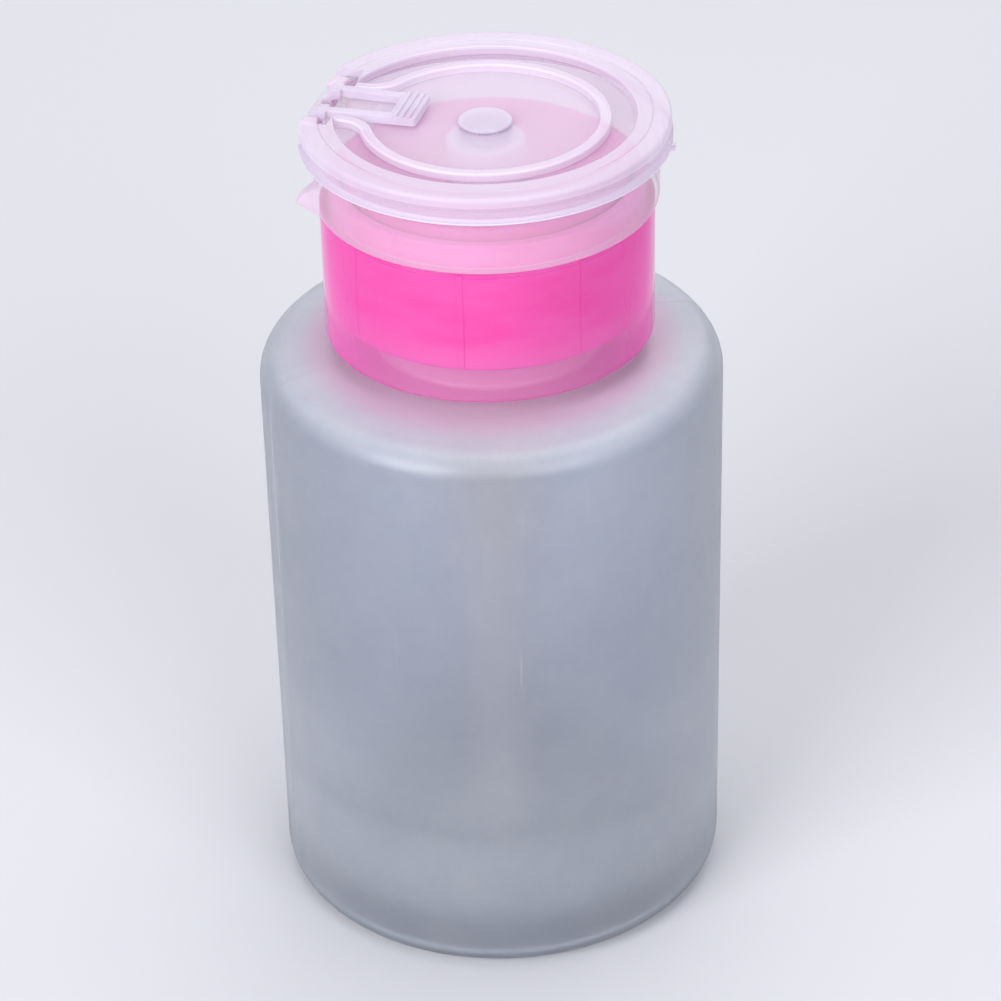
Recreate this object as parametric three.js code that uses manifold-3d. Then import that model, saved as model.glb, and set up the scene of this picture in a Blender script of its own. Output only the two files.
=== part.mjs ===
// Press-dish pump bottle for nail polish remover, in millimetres, +Z up.
// The origin is the middle of the base. The lid's hinge is on the -X side.
// Every fit, stack and pattern below follows from the named sizes and clearances at the top.
import * as THREE from 'three';
import { mergeVertices } from 'three/addons/utils/BufferGeometryUtils.js';
import { ConvexGeometry } from 'three/addons/geometries/ConvexGeometry.js';
import Module from 'manifold-3d';

const wasm = await Module();
wasm.setup();

// Fits shared by all pieces
const clearance = 0.3; // gap between pieces that sit or slide on each other
const overrun = 2; // how far a cutter passes the material that it cuts
const sink = 0.4; // how deep two joined shapes reach into each other

// Steps round the axis
const wideSteps = 48;
const midSteps = 32;
const narrowSteps = 20;
const cornerSteps = 4; // steps in a rounded corner

// Bottle
const bottleRadius = 30;
const bottleWall = 1.2;
const heelRadius = 3.4; // rounded edge at the base
const standingWidth = 4.4; // flat ring that the bottle stands on
const pushUpHeight = 1.6; // how far the middle of the base is raised
const pushUpRun = 1.8; // width of the slope up to it
const shoulderHeight = 80.2; // top of the rounded shoulder edge
const shoulderRadius = 3.9;
const shoulderRise = 1.4; // slow rise from the edge to the neck
const neckRadius = 14.85;
const neckWall = 1.45;
const neckLength = 12.4;
const neckRoot = 0.8; // fillet at the neck's foot
const neckChamfer = 0.5;

// Screw thread, on the neck and inside the closure
const threadPitch = 3.2;
const threadDepth = 1.1;
const threadRootWidth = 1.8;
const threadCrestWidth = 0.7;
const threadLead = 1.6; // from the neck's mouth to the thread's upper end
const threadTurns = 1.5;
const capThreadTurns = 1.1;
const threadSteps = 24; // steps for one turn
const threadRunOut = 3; // steps in which the thread's ends run out

// Gasket, flange and top plate, stacked on the neck's mouth
const gasketThickness = 0.8;
const flangeThickness = 1;
const plateThickness = 1;

// Closure
const capGap = 5.7; // from the bottle's shoulder to the closure's lower edge
const threadWall = 1.3; // wall that carries the inside thread
const capRoom = 1.05; // hollow between that wall and the outer wall
const capOuterWall = 1;
const capWebHeight = 2; // solid web under the top plate that joins the two walls
const collarStep = 0.4; // collar proud of the outer wall
const collarWall = 1.6;
const collarHeight = 6.9; // from the top plate to the collar's top
const collarFoot = 1.2; // where the collar starts below the sleeve's top
const plateHoleGap = 1; // round the boss of the dish
const ribCount = 8;
const ribWidth = 1.1;
const ribPhase = 6; // degrees from +X to the first rib
const ribBottomMargin = 0.6;

// Sleeve
const sleeveWall = 0.87;
const sleeveGap = 1.7; // from the bottle's shoulder to the sleeve
const sleeveRise = 3.7; // sleeve's top above the closure's top plate

// Band
const bandWall = 1.45;
const bandHeight = 9.5;
const bandEdge = 0.25; // chamfer on the band's lower edge
const bandStepWidth = 0.15; // low step round the band, under the skirt
const bandStepDrop = 2.3; // from the band's top to that step
const tabAngle = 210; // degrees from +X to the finger tab
const tabReach = 2.75; // the tab's tip, out from the band
const tabHeight = 4.5; // its top, from the band's lower edge
const tabCornerHeight = 3.4;
const tabTipHeight = 2.2;
const tabHalfAngle = 3.2; // degrees, half of the tab's width on the band
const tabCornerReach = 1.75;
const tabCrestShare = 0.55; // share of the tab's width left at its upper corner
const tabTipShare = 0.3; // share left at its tip
const tabFootShare = 1.4; // share at its foot, on the band's lower edge

// Hinge, on the -X side
const hingeOffset = 0.15; // pin's axis, out from the band's face
const pinRadius = 0.4;
const knuckleRadius = 1.15;
const bracketWidth = 3.2;
const knuckleWidth = 2.4;
const windowMargin = 3.5; // beside the knuckles, in the lid's rim and in the band
const bracketDrop = 4.55; // from the pin to where the bracket runs into the band

// Lid
const lidRise = 1.6; // rim's top above the band
const lidEdge = 0.5; // rounded rim edge
const lidPlate = 1.1; // thickness of the rim
const skirtFit = 0.4; // gap between the skirt and the band
const skirtWall = 1.1;
const skirtProud = 0.15; // lower ring of the skirt, proud of the rim
const skirtGroove = 0.3; // groove between the rim and the lower ring
const grooveDrop = 1.9; // from the rim's top to the groove
const plugWall = 0.7; // wall that closes the lid inside the band
const rimLineWidth = 1.4; // shallow step on the rim, beside the trough
const rimLineDrop = 0.12;
const troughDepth = 1.7; // from the rim's top to the panel
const panelThickness = 0.7;
const troughWidth = 4.25; // from the rim's inner wall to the middle of the keyhole rib
const ribWall = 1.4;
const ribRise = 1.2; // rib above the panel
const keyholeGap = 0.25; // beside the strap, between the rib's straight walls
const keyholeFillet = 4;
const nibAngle = 5.5; // degrees from +X to the lift nib
const nibSize = 0.9;
const nibReach = 0.45;

// Hinge strap
const strapRootHalf = 3.75; // outer half width at the hinge
const strapEndHalf = 3.4; // outer half width at the cross block
const strapLegWidth = 1.2;
const strapThickness = 1.1;
const strapEnd = 8.1; // from the part's axis to the cross block's inner face
const crossLength = 3.5;
const gripCount = 3;
const gripWidth = 0.5;
const gripHeight = 0.25;
const pegLength = 1.5;
const pegWidth = 3.2;
const pegDrop = 1.3; // how far the peg reaches below the strap

// Lid stopper
const stopperNeck = 2.7;
const stopperLip = 0.7; // discs proud of the neck
const stopperDisc = 0.4;
const stopperTipLength = 0.7;

// Press dish
const dishFit = 0.4; // gap between the dish and the collar
const dishRise = 1.4; // dish's edge above the collar
const dishWall = 1.2;
const dishLip = 0.8; // flat edge of the dish
const dishSlope = 2.2; // width of the slope down to the floor
const dishDepth = 2.3;
const dishStepRadius = 8; // shallow step round the middle of the floor
const dishStepRise = 0.25;
const dishSkirt = 3.3; // from the dish's edge to the bottom of its skirt
const bossWall = 2;
const bossHeight = 4.2; // boss above the floor
const bossDepth = 1.3; // boss below the floor

// Nozzle cap
const nozzleWall = 0.7;
const nozzleRoom = 0.5; // between the boss and the nozzle's roof
const nozzleRoof = 1;
const nozzleHole = 1.15;

// Check valves
const outletBallRadius = 1.5;
const outletSeatHole = 1;
const outletRoom = 0.5; // round the ball
const outletLand = 0.4; // short bore below the outlet seat
const inletBallRadius = 2;
const inletSeatHole = 1.3;
const inletRoom = 1.2; // round the ball
const inletHeight = 6.3; // from the seat's hole to the ledge of the retainer
const seatSlope = Math.PI / 4; // the seats are cones of 45 degrees
const inletLand = 1;

// Pump barrel
const barrelBore = 6;
const barrelWall = 1.2;
const barrelLength = 32.2; // from the flange to the ledge of the retainer
const socketWall = 1.4;
const socketRise = 0.5; // socket's outside above the seat's hole
const socketDepth = 8.5;
const guideSeatWidth = 1.6;
const guideSeatDepth = 1.2;

// Ball retainer
const retainerThickness = 1.8;
const retainerHole = 1.2;
const retainerSlots = 2;
const retainerSlotWidth = 1;
const retainerSlotShare = 0.7; // length of the slots as a share of the disc's width

// Stem, piston and guide
const stemRadius = 2.6;
const stemWall = 1.2;
const stemFlangeWidth = 1.8;
const stemFlangeThickness = 1;
const pistonHeight = 6.7;
const pistonWaistDepth = 0.7; // waist below the lips
const pistonLip = 1.1;
const pistonRelief = 1;
const guideLength = 9.1;
const guideWall = 1.2;
const guideBushLength = 3;

// Return spring
const springCoilRadius = 4.2; // middle of the wire
const wireRadius = 0.4;
const springTurns = 6;
const springSteps = 8; // steps for one turn
const wireSides = 5;

// Dip tube
const tubeRadius = 2.6;
const tubeWall = 0.8;
const tubeGap = 2.2; // from the bottle's floor to the tube

// Bottle, closure and sleeve: heights and radii that follow from the sizes above
const shoulderTop = shoulderHeight + shoulderRise;
const neckTop = shoulderTop + neckLength;
const neckBoreRadius = neckRadius - neckWall;
const gasketBottom = neckTop + clearance;
const gasketTop = gasketBottom + gasketThickness;
const flangeBottom = gasketTop + clearance;
const flangeTop = flangeBottom + flangeThickness;
const plateBottom = flangeTop + clearance;
const plateTop = plateBottom + plateThickness;
const capBottom = shoulderTop + capGap;
const capBoreRadius = neckRadius + threadDepth + clearance;
const threadCrestRadius = neckRadius + clearance;
const threadWallRadius = capBoreRadius + threadWall;
const capOuterRadius = threadWallRadius + capRoom + capOuterWall;
const flangeRadius = capBoreRadius - clearance - sink;
const collarOuterRadius = capOuterRadius + collarStep;
const collarInnerRadius = collarOuterRadius - collarWall;
const collarTop = plateTop + collarHeight;
const sleeveInnerRadius = collarOuterRadius + clearance;
const sleeveRadius = sleeveInnerRadius + sleeveWall;
const sleeveBottom = shoulderTop + sleeveGap;
const sleeveTop = plateTop + sleeveRise;

// Band, hinge and lid
const bandBottom = sleeveTop + clearance;
const bandTop = bandBottom + bandHeight;
const bandInnerRadius = collarOuterRadius + clearance;
const bandRadius = bandInnerRadius + bandWall;
const bandStepHeight = bandTop - bandStepDrop;
const skirtBottom = bandStepHeight + clearance;
const lidRadius = bandRadius + skirtFit + skirtWall;
const lidTop = bandTop + lidRise;
const grooveHeight = lidTop - grooveDrop;
const panelTop = lidTop - troughDepth;
const plugRadius = bandInnerRadius - clearance;
const troughRadius = plugRadius - plugWall;
const ribRadius = troughRadius - troughWidth;
const keyholeHalf = strapRootHalf + keyholeGap + ribWall / 2;
const strapBottom = panelTop + clearance;
const strapTop = strapBottom + strapThickness;
const hingeRadius = bandRadius + hingeOffset;
const hingeHeight = strapBottom - clearance - knuckleRadius;
const knuckleNear = bracketWidth / 2 + clearance;
const knuckleFar = knuckleNear + knuckleWidth;
const windowHalf = knuckleFar + windowMargin;

// Pump, dish and stopper
const barrelRadius = barrelBore + barrelWall;
const guideSeatRadius = barrelBore + guideSeatWidth;
const guideFlangeRadius = guideSeatRadius - clearance;
const retainerStep = flangeTop - barrelLength;
const barrelFoot = retainerStep - barrelWall;
const inletChamber = inletBallRadius + inletRoom;
const inletSeatBottom = retainerStep - inletHeight;
const socketRadius = tubeRadius + clearance + socketWall;
const socketTop = inletSeatBottom + socketRise;
const socketBottom = inletSeatBottom - inletLand - socketDepth;
const tubeBottom = pushUpHeight + bottleWall + tubeGap;
const tubeTop = inletSeatBottom - inletLand - clearance;
const guideTop = flangeTop;
const guideBottom = guideTop - guideLength;
const guideFlangeBottom = guideTop - guideSeatDepth + clearance;
const pistonLipRadius = barrelBore - clearance;
const pistonWaist = pistonLipRadius - pistonWaistDepth;
const pistonTop = guideBottom - clearance;
const pistonBottom = pistonTop - pistonHeight;
const stemBottom = pistonBottom - clearance - stemFlangeThickness;
const retainerBottom = retainerStep + clearance;
const retainerTop = retainerBottom + retainerThickness;
const outletChamber = outletBallRadius + outletRoom;
const bossRadius = outletChamber + bossWall;
const plateHoleRadius = bossRadius + plateHoleGap;
const dishRadius = collarInnerRadius - dishFit;
const dishTop = collarTop + dishRise;
const dishFloor = dishTop - dishDepth;
const dishUnder = dishFloor - dishWall;
const bossTop = dishFloor + bossHeight;
const outletSeatBottom = dishFloor + outletLand;
const stemTop = dishFloor - clearance;
const nozzleInnerRadius = bossRadius + clearance;
const nozzleRadius = nozzleInnerRadius + nozzleWall;
const nozzleTop = bossTop + nozzleRoom + nozzleRoof;
const stopperRadius = stopperNeck + stopperLip;
const stopperTip = nozzleHole - clearance; // radius of the tip that closes the nozzle
const stopperTop = panelTop + clearance + stopperDisc;
const ballHeight = (radius, hole, seatBottom) =>
  seatBottom - hole + (radius + clearance) / Math.sin(seatSlope);

// Finishes, as seen
const finish = (color, roughness, metalness = 0) =>
  new THREE.MeshStandardMaterial({ color, roughness, metalness });
const finishes = {
  frostedBottle: () => finish(0xa9acbe, 0.6),
  naturalClear: () => finish(0xe8dcf2, 0.3),
  naturalPale: () => finish(0xe6d8ec, 0.4),
  pinkCap: () => finish(0xf55ec0, 0.35),
  pinkSleeve: () => finish(0xe88ac8, 0.15),
  steel: () => finish(0xc8c8cc, 0.25, 1),
  rubber: () => finish(0xd8d8da, 0.8),
};

// Basic shapes

const point = (r, z) => new THREE.Vector2(r, z);
const radians = (degrees) => THREE.MathUtils.degToRad(degrees);

// Points of a round corner, from one angle to another, in degrees from +R towards +Z.
function corner(centreR, centreZ, radius, from, to, steps = cornerSteps) {
  const points = [];
  for (let i = 0; i <= steps; i += 1) {
    const angle = radians(from + ((to - from) * i) / steps);
    points.push(point(centreR + radius * Math.cos(angle), centreZ + radius * Math.sin(angle)));
  }
  return points;
}

// A closed body from any closed geometry, with its faces turned outwards.
function closedBody(geometry) {
  const bare = geometry.clone();
  bare.deleteAttribute('normal');
  bare.deleteAttribute('uv');
  const merged = mergeVertices(bare);
  const places = merged.getAttribute('position').array;
  const corners = merged.index.array;
  const kept = [];
  let volume = 0;
  const a = new THREE.Vector3();
  const b = new THREE.Vector3();
  const c = new THREE.Vector3();
  for (let i = 0; i < corners.length; i += 3) {
    const [p, q, r] = [corners[i], corners[i + 1], corners[i + 2]];
    if (p !== q && q !== r && r !== p) {
      kept.push(p, q, r);
      a.fromArray(places, p * 3);
      b.fromArray(places, q * 3);
      c.fromArray(places, r * 3);
      volume += a.dot(b.cross(c));
    }
  }
  if (volume < 0) {
    kept.reverse();
  }
  const triVerts = Uint32Array.from(kept);
  const vertProperties = Float32Array.from(places);
  return new wasm.Manifold(new wasm.Mesh({ numProp: 3, vertProperties, triVerts }));
}

// A turned body. The outline is (radius, height) points, closed on itself or on the axis.
function turned(outline, steps) {
  const points = [...outline];
  const [first, last] = [points[0], points[points.length - 1]];
  if (first.x > 0 || last.x > 0) {
    points.push(first.clone());
  }
  const geometry = new THREE.LatheGeometry(points, steps);
  geometry.rotateX(Math.PI / 2);
  return closedBody(geometry);
}

// A box between two corners.
function box(low, high) {
  const size = high.map((value, i) => value - low[i]);
  const geometry = new THREE.BoxGeometry(...size);
  geometry.translate(...high.map((value, i) => (value + low[i]) / 2));
  return closedBody(geometry);
}

// A plan outline raised between two heights.
function raised(outline, bottom, top) {
  const geometry = new THREE.ExtrudeGeometry(new THREE.Shape(outline), {
    depth: top - bottom,
    bevelEnabled: false,
  });
  geometry.translate(0, 0, bottom);
  return closedBody(geometry);
}

// A side outline of (x, z) points, given a width along Y from one side to the other.
function sideways(outline, from, to) {
  const geometry = new THREE.ExtrudeGeometry(new THREE.Shape(outline), {
    depth: to - from,
    bevelEnabled: false,
  });
  geometry.rotateX(Math.PI / 2);
  geometry.translate(0, to, 0);
  return closedBody(geometry);
}

// A round bar along Y at the hinge.
function hingeBar(radius, from, to) {
  const geometry = new THREE.CylinderGeometry(radius, radius, to - from, narrowSteps);
  geometry.translate(-hingeRadius, (from + to) / 2, hingeHeight);
  return closedBody(geometry);
}

// A screw ridge. Its root sinks into the wall, and its ends run out to nothing.
function screwRidge({ rootRadius, crestRadius, bottom, from, turns }) {
  const inwards = Math.sign(crestRadius - rootRadius);
  const buried = rootRadius - inwards * sink;
  const count = Math.round(turns * threadSteps);
  const places = [];
  const corners = [];
  for (let i = 0; i <= count; i += 1) {
    const share = Math.min(1, i / threadRunOut, (count - i) / threadRunOut);
    const crest = THREE.MathUtils.lerp(rootRadius - inwards * (sink / 2), crestRadius, share);
    const turn = from + i / threadSteps;
    const angle = turn * 2 * Math.PI;
    const middle = bottom + turn * threadPitch;
    const section = [
      [buried, -threadRootWidth / 2],
      [crest, -threadCrestWidth / 2],
      [crest, threadCrestWidth / 2],
      [buried, threadRootWidth / 2],
    ];
    for (const [radius, rise] of section) {
      places.push(radius * Math.cos(angle), radius * Math.sin(angle), middle + rise);
    }
  }
  for (let i = 0; i < count; i += 1) {
    for (let j = 0; j < 4; j += 1) {
      const near = i * 4 + j;
      const next = i * 4 + ((j + 1) % 4);
      corners.push(near, next, near + 4, next, next + 4, near + 4);
    }
  }
  const end = count * 4;
  corners.push(0, 2, 1, 0, 3, 2, end, end + 1, end + 2, end, end + 2, end + 3);
  const geometry = new THREE.BufferGeometry();
  geometry.setAttribute('position', new THREE.Float32BufferAttribute(places, 3));
  geometry.setIndex(corners);
  return closedBody(geometry);
}

const part = new THREE.Group();

// Adds a finished body to the part as a named mesh.
function place(name, body, material) {
  const mesh = body.getMesh();
  const geometry = new THREE.BufferGeometry();
  geometry.setAttribute('position', new THREE.BufferAttribute(mesh.vertProperties, 3));
  geometry.setIndex(new THREE.BufferAttribute(mesh.triVerts, 1));
  geometry.computeVertexNormals();
  const placed = new THREE.Mesh(geometry, material);
  placed.name = name;
  part.add(placed);
}

// Bottle

function makeBottle() {
  const heelCentre = bottleRadius - heelRadius;
  const ringInner = heelCentre - standingWidth;
  const raisedRadius = ringInner - pushUpRun;
  const edgeCentre = bottleRadius - shoulderRadius;
  const edgeHeight = shoulderHeight - shoulderRadius;
  const outline = [
    point(0, pushUpHeight),
    point(raisedRadius, pushUpHeight),
    point(ringInner, 0),
    ...corner(heelCentre, heelRadius, heelRadius, -90, 0),
    ...corner(edgeCentre, edgeHeight, shoulderRadius, 0, 90),
    point(neckRadius + neckRoot, shoulderTop),
    point(neckRadius, shoulderTop + neckRoot),
    point(neckRadius, neckTop - neckChamfer),
    point(neckRadius - neckChamfer, neckTop),
    point(neckBoreRadius, neckTop),
    point(neckBoreRadius, shoulderTop - bottleWall),
    ...corner(edgeCentre, edgeHeight, shoulderRadius - bottleWall, 90, 0),
    ...corner(heelCentre, heelRadius, heelRadius - bottleWall, 0, -90),
    point(ringInner, bottleWall),
    point(raisedRadius, pushUpHeight + bottleWall),
    point(0, pushUpHeight + bottleWall),
  ];
  const thread = screwRidge({
    rootRadius: neckRadius,
    crestRadius: neckRadius + threadDepth,
    bottom: neckThreadBottom,
    from: 0,
    turns: threadTurns,
  });
  return turned(outline, wideSteps).add(thread);
}

const neckThreadBottom = neckTop - threadLead - threadTurns * threadPitch;
place('bottle', makeBottle(), finishes.frostedBottle());

// Dip tube, barrel and valves, along the axis

function ring(inner, outer, bottom, top, steps) {
  const outline = [point(inner, bottom), point(outer, bottom), point(outer, top), point(inner, top)];
  return turned(outline, steps);
}

const tube = ring(tubeRadius - tubeWall, tubeRadius, tubeBottom, tubeTop, narrowSteps);
place('dip_tube', tube, finishes.naturalPale());

function makeBarrel() {
  const coneTop = inletSeatBottom + inletChamber - inletSeatHole;
  const outline = [
    point(tubeRadius + clearance, socketBottom),
    point(socketRadius, socketBottom),
    point(socketRadius, socketTop),
    point(barrelRadius, barrelFoot),
    point(barrelRadius, flangeBottom),
    point(flangeRadius, flangeBottom),
    point(flangeRadius, flangeTop),
    point(guideSeatRadius, flangeTop),
    point(guideSeatRadius, flangeTop - guideSeatDepth),
    point(barrelBore, flangeTop - guideSeatDepth),
    point(barrelBore, retainerStep),
    point(inletChamber, retainerStep),
    point(inletChamber, coneTop),
    point(inletSeatHole, inletSeatBottom),
    point(inletSeatHole, inletSeatBottom - inletLand),
    point(tubeRadius + clearance, inletSeatBottom - inletLand),
  ];
  return turned(outline, midSteps);
}

place('pump_cylinder', makeBarrel(), finishes.naturalPale());

function ball(radius, height) {
  const geometry = new THREE.SphereGeometry(radius, midSteps / 2, midSteps / 4);
  geometry.rotateX(Math.PI / 2);
  geometry.translate(0, 0, height);
  return closedBody(geometry);
}

const inletBallHeight = ballHeight(inletBallRadius, inletSeatHole, inletSeatBottom);
const outletBallHeight = ballHeight(outletBallRadius, outletSeatHole, outletSeatBottom);
place('inlet_ball', ball(inletBallRadius, inletBallHeight), finishes.steel());
place('outlet_ball', ball(outletBallRadius, outletBallHeight), finishes.steel());

function makeRetainer() {
  const radius = barrelBore - clearance;
  let disc = ring(retainerHole, radius, retainerBottom, retainerTop, narrowSteps);
  const reach = radius * retainerSlotShare;
  const half = retainerSlotWidth / 2;
  for (let i = 0; i < retainerSlots; i += 1) {
    const low = [-reach, -half, retainerBottom - overrun];
    const slot = box(low, [reach, half, retainerTop + overrun]);
    disc = disc.subtract(slot.rotate([0, 0, (i * 180) / retainerSlots]));
  }
  return disc;
}

place('ball_retainer', makeRetainer(), finishes.naturalPale());

// Return spring: one unbroken coil between the retainer and the stem's flange

function makeSpring() {
  const bottom = retainerTop + clearance + wireRadius;
  const top = stemBottom - clearance - wireRadius;
  const rise = (top - bottom) / springTurns;
  const count = springTurns * springSteps;
  const centres = [];
  for (let i = 0; i <= count; i += 1) {
    const angle = (i / springSteps) * 2 * Math.PI;
    const height = bottom + (rise * i) / springSteps;
    const x = springCoilRadius * Math.cos(angle);
    const y = springCoilRadius * Math.sin(angle);
    centres.push(new THREE.Vector3(x, y, height));
  }
  const places = [];
  for (const [i, centre] of centres.entries()) {
    const angle = (i / springSteps) * 2 * Math.PI;
    const out = new THREE.Vector3(Math.cos(angle), Math.sin(angle), 0);
    for (let j = 0; j < wireSides; j += 1) {
      const side = (j / wireSides) * 2 * Math.PI;
      const spot = centre.clone().addScaledVector(out, wireRadius * Math.cos(side));
      places.push(spot.x, spot.y, spot.z + wireRadius * Math.sin(side));
    }
  }
  const corners = [];
  for (let i = 0; i < count; i += 1) {
    for (let j = 0; j < wireSides; j += 1) {
      const near = i * wireSides + j;
      const next = i * wireSides + ((j + 1) % wireSides);
      corners.push(near, near + wireSides, next, next, near + wireSides, next + wireSides);
    }
  }
  const end = count * wireSides;
  for (let j = 1; j < wireSides - 1; j += 1) {
    corners.push(0, j, j + 1, end, end + j + 1, end + j);
  }
  const geometry = new THREE.BufferGeometry();
  geometry.setAttribute('position', new THREE.Float32BufferAttribute(places, 3));
  geometry.setIndex(corners);
  let least = Infinity;
  for (const [i, centre] of centres.entries()) {
    for (let j = i + springSteps / 2; j < centres.length; j += 1) {
      least = Math.min(least, centre.distanceTo(centres[j]) - 2 * wireRadius);
    }
  }
  console.log(`return_spring least gap between turns: ${least.toFixed(2)} mm`);
  return closedBody(geometry);
}

place('return_spring', makeSpring(), finishes.steel());

// Stem, piston and guide

function makeStem() {
  const stemBore = stemRadius - stemWall;
  const flangeEdge = stemRadius + stemFlangeWidth;
  const outline = [
    point(stemBore, stemBottom),
    point(flangeEdge, stemBottom),
    point(flangeEdge, stemBottom + stemFlangeThickness),
    point(stemRadius, stemBottom + stemFlangeThickness),
    point(stemRadius, stemTop),
    point(stemBore, stemTop),
  ];
  return turned(outline, narrowSteps);
}

function makePiston() {
  const lip = pistonLipRadius;
  const outline = [
    point(stemRadius + clearance, pistonBottom + pistonRelief),
    point(pistonWaist - pistonRelief, pistonBottom + pistonRelief),
    point(lip, pistonBottom),
    point(lip, pistonBottom + pistonLip),
    point(pistonWaist, pistonBottom + 2 * pistonLip),
    point(pistonWaist, pistonTop - 2 * pistonLip),
    point(lip, pistonTop - pistonLip),
    point(lip, pistonTop),
    point(pistonWaist - pistonRelief, pistonTop - pistonRelief),
    point(stemRadius + clearance, pistonTop - pistonRelief),
  ];
  return turned(outline, narrowSteps);
}

function makeGuide() {
  const bodyRadius = barrelBore - clearance;
  const bush = stemRadius + clearance;
  const outline = [
    point(bodyRadius - guideWall, guideBottom),
    point(bodyRadius, guideBottom),
    point(bodyRadius, guideFlangeBottom),
    point(guideFlangeRadius, guideFlangeBottom),
    point(guideFlangeRadius, guideTop),
    point(bush, guideTop),
    point(bush, guideTop - guideBushLength),
    point(bodyRadius - guideWall, guideTop - guideBushLength),
  ];
  return turned(outline, midSteps);
}

place('piston_stem', makeStem(), finishes.naturalPale());
place('piston_seal', makePiston(), finishes.rubber());
place('stem_guide', makeGuide(), finishes.naturalPale());

const gasket = ring(neckBoreRadius, flangeRadius, gasketBottom, gasketTop, midSteps);
place('neck_gasket', gasket, finishes.rubber());

// Closure: thread wall and outer wall under a top plate, and a collar round the dish above it

function makeCap() {
  const outerWallInner = capOuterRadius - capOuterWall;
  const webBottom = plateBottom - capWebHeight;
  const collarBottom = sleeveTop - collarFoot;
  const outline = [
    point(plateHoleRadius, plateBottom),
    point(capBoreRadius, plateBottom),
    point(capBoreRadius, capBottom),
    point(threadWallRadius, capBottom),
    point(threadWallRadius, webBottom),
    point(outerWallInner, webBottom),
    point(outerWallInner, capBottom),
    point(capOuterRadius, capBottom),
    point(capOuterRadius, collarBottom),
    point(collarOuterRadius, collarBottom),
    point(collarOuterRadius, collarTop),
    point(collarInnerRadius, collarTop),
    point(collarInnerRadius, plateTop),
    point(plateHoleRadius, plateTop),
  ];
  const ridge = screwRidge({
    rootRadius: capBoreRadius,
    crestRadius: threadCrestRadius,
    bottom: neckThreadBottom - threadPitch / 2,
    from: capThreadStart,
    turns: capThreadTurns,
  });
  let cap = turned(outline, wideSteps).add(ridge);
  for (let i = 0; i < ribCount; i += 1) {
    const low = [capOuterRadius - sink, -ribWidth / 2, capBottom + ribBottomMargin];
    const rib = box(low, [sleeveInnerRadius - clearance, ribWidth / 2, collarBottom + sink]);
    cap = cap.add(rib.rotate([0, 0, ribPhase + (i * 360) / ribCount]));
  }
  return cap;
}

// The inside thread starts as low as the closure's lower edge lets it
const capRidgeLow = capBottom + threadRootWidth / 2 + clearance;
const capThreadStart = (capRidgeLow - neckThreadBottom + threadPitch / 2) / threadPitch;
place('screw_cap', makeCap(), finishes.pinkCap());

const sleeve = ring(sleeveInnerRadius, sleeveRadius, sleeveBottom, sleeveTop, wideSteps);
place('outer_sleeve', sleeve, finishes.pinkSleeve());

// Band, with the finger tab and the hinge bracket

function makeBand() {
  const outline = [
    point(bandInnerRadius, bandBottom),
    point(bandRadius - bandEdge, bandBottom),
    point(bandRadius, bandBottom + bandEdge),
    point(bandRadius, bandStepHeight),
    point(bandRadius - bandStepWidth, bandStepHeight),
    point(bandRadius - bandStepWidth, bandTop),
    point(bandInnerRadius, bandTop),
  ];
  const windowFloor = hingeHeight - knuckleRadius - clearance;
  const slotInner = -(bandInnerRadius - overrun);
  const slotLow = [-(bandRadius + overrun), -windowHalf, windowFloor];
  const slot = box(slotLow, [slotInner, windowHalf, bandTop + overrun]);
  const bore = hingeBar(pinRadius + clearance, -bracketWidth, bracketWidth);
  return turned(outline, wideSteps).subtract(slot).add(makeBracket()).subtract(bore).add(makeTab());
}

// The bracket stands on the band between the two knuckles and is round about the pin.
function makeBracket() {
  const inner = -(bandInnerRadius + clearance);
  const outer = -(hingeRadius + knuckleRadius);
  const outline = [
    point(inner, hingeHeight - bracketDrop),
    point(-bandRadius, hingeHeight - bracketDrop),
    point(outer, hingeHeight - knuckleRadius),
    ...corner(-hingeRadius, hingeHeight, knuckleRadius, 180, 0, 2 * cornerSteps),
    point(inner, hingeHeight - knuckleRadius),
  ];
  return sideways(outline, -bracketWidth / 2, bracketWidth / 2);
}

// The tab is a faceted wedge, widest at its foot and narrower at its upper corner and tip.
function makeTab() {
  const spots = [];
  const levels = [
    [-sink, tabHeight, 1],
    [tabCornerReach, tabCornerHeight, tabCrestShare],
    [tabReach, tabTipHeight, tabTipShare],
    [-sink, tabTipHeight, 1],
    [-sink, 0, tabFootShare],
  ];
  for (const [reach, height, widthShare] of levels) {
    const radius = bandRadius + reach;
    for (const side of [-1, 1]) {
      const angle = radians(tabAngle + side * tabHalfAngle * widthShare);
      const [x, y] = [radius * Math.cos(angle), radius * Math.sin(angle)];
      spots.push(new THREE.Vector3(x, y, bandBottom + height));
    }
  }
  return closedBody(new ConvexGeometry(spots));
}

place('flip_band', makeBand(), finishes.naturalClear());

place('hinge_pin', hingeBar(pinRadius, -knuckleFar, knuckleFar), finishes.steel());

// Press dish with its boss, nozzle cap and lid stopper

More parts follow.
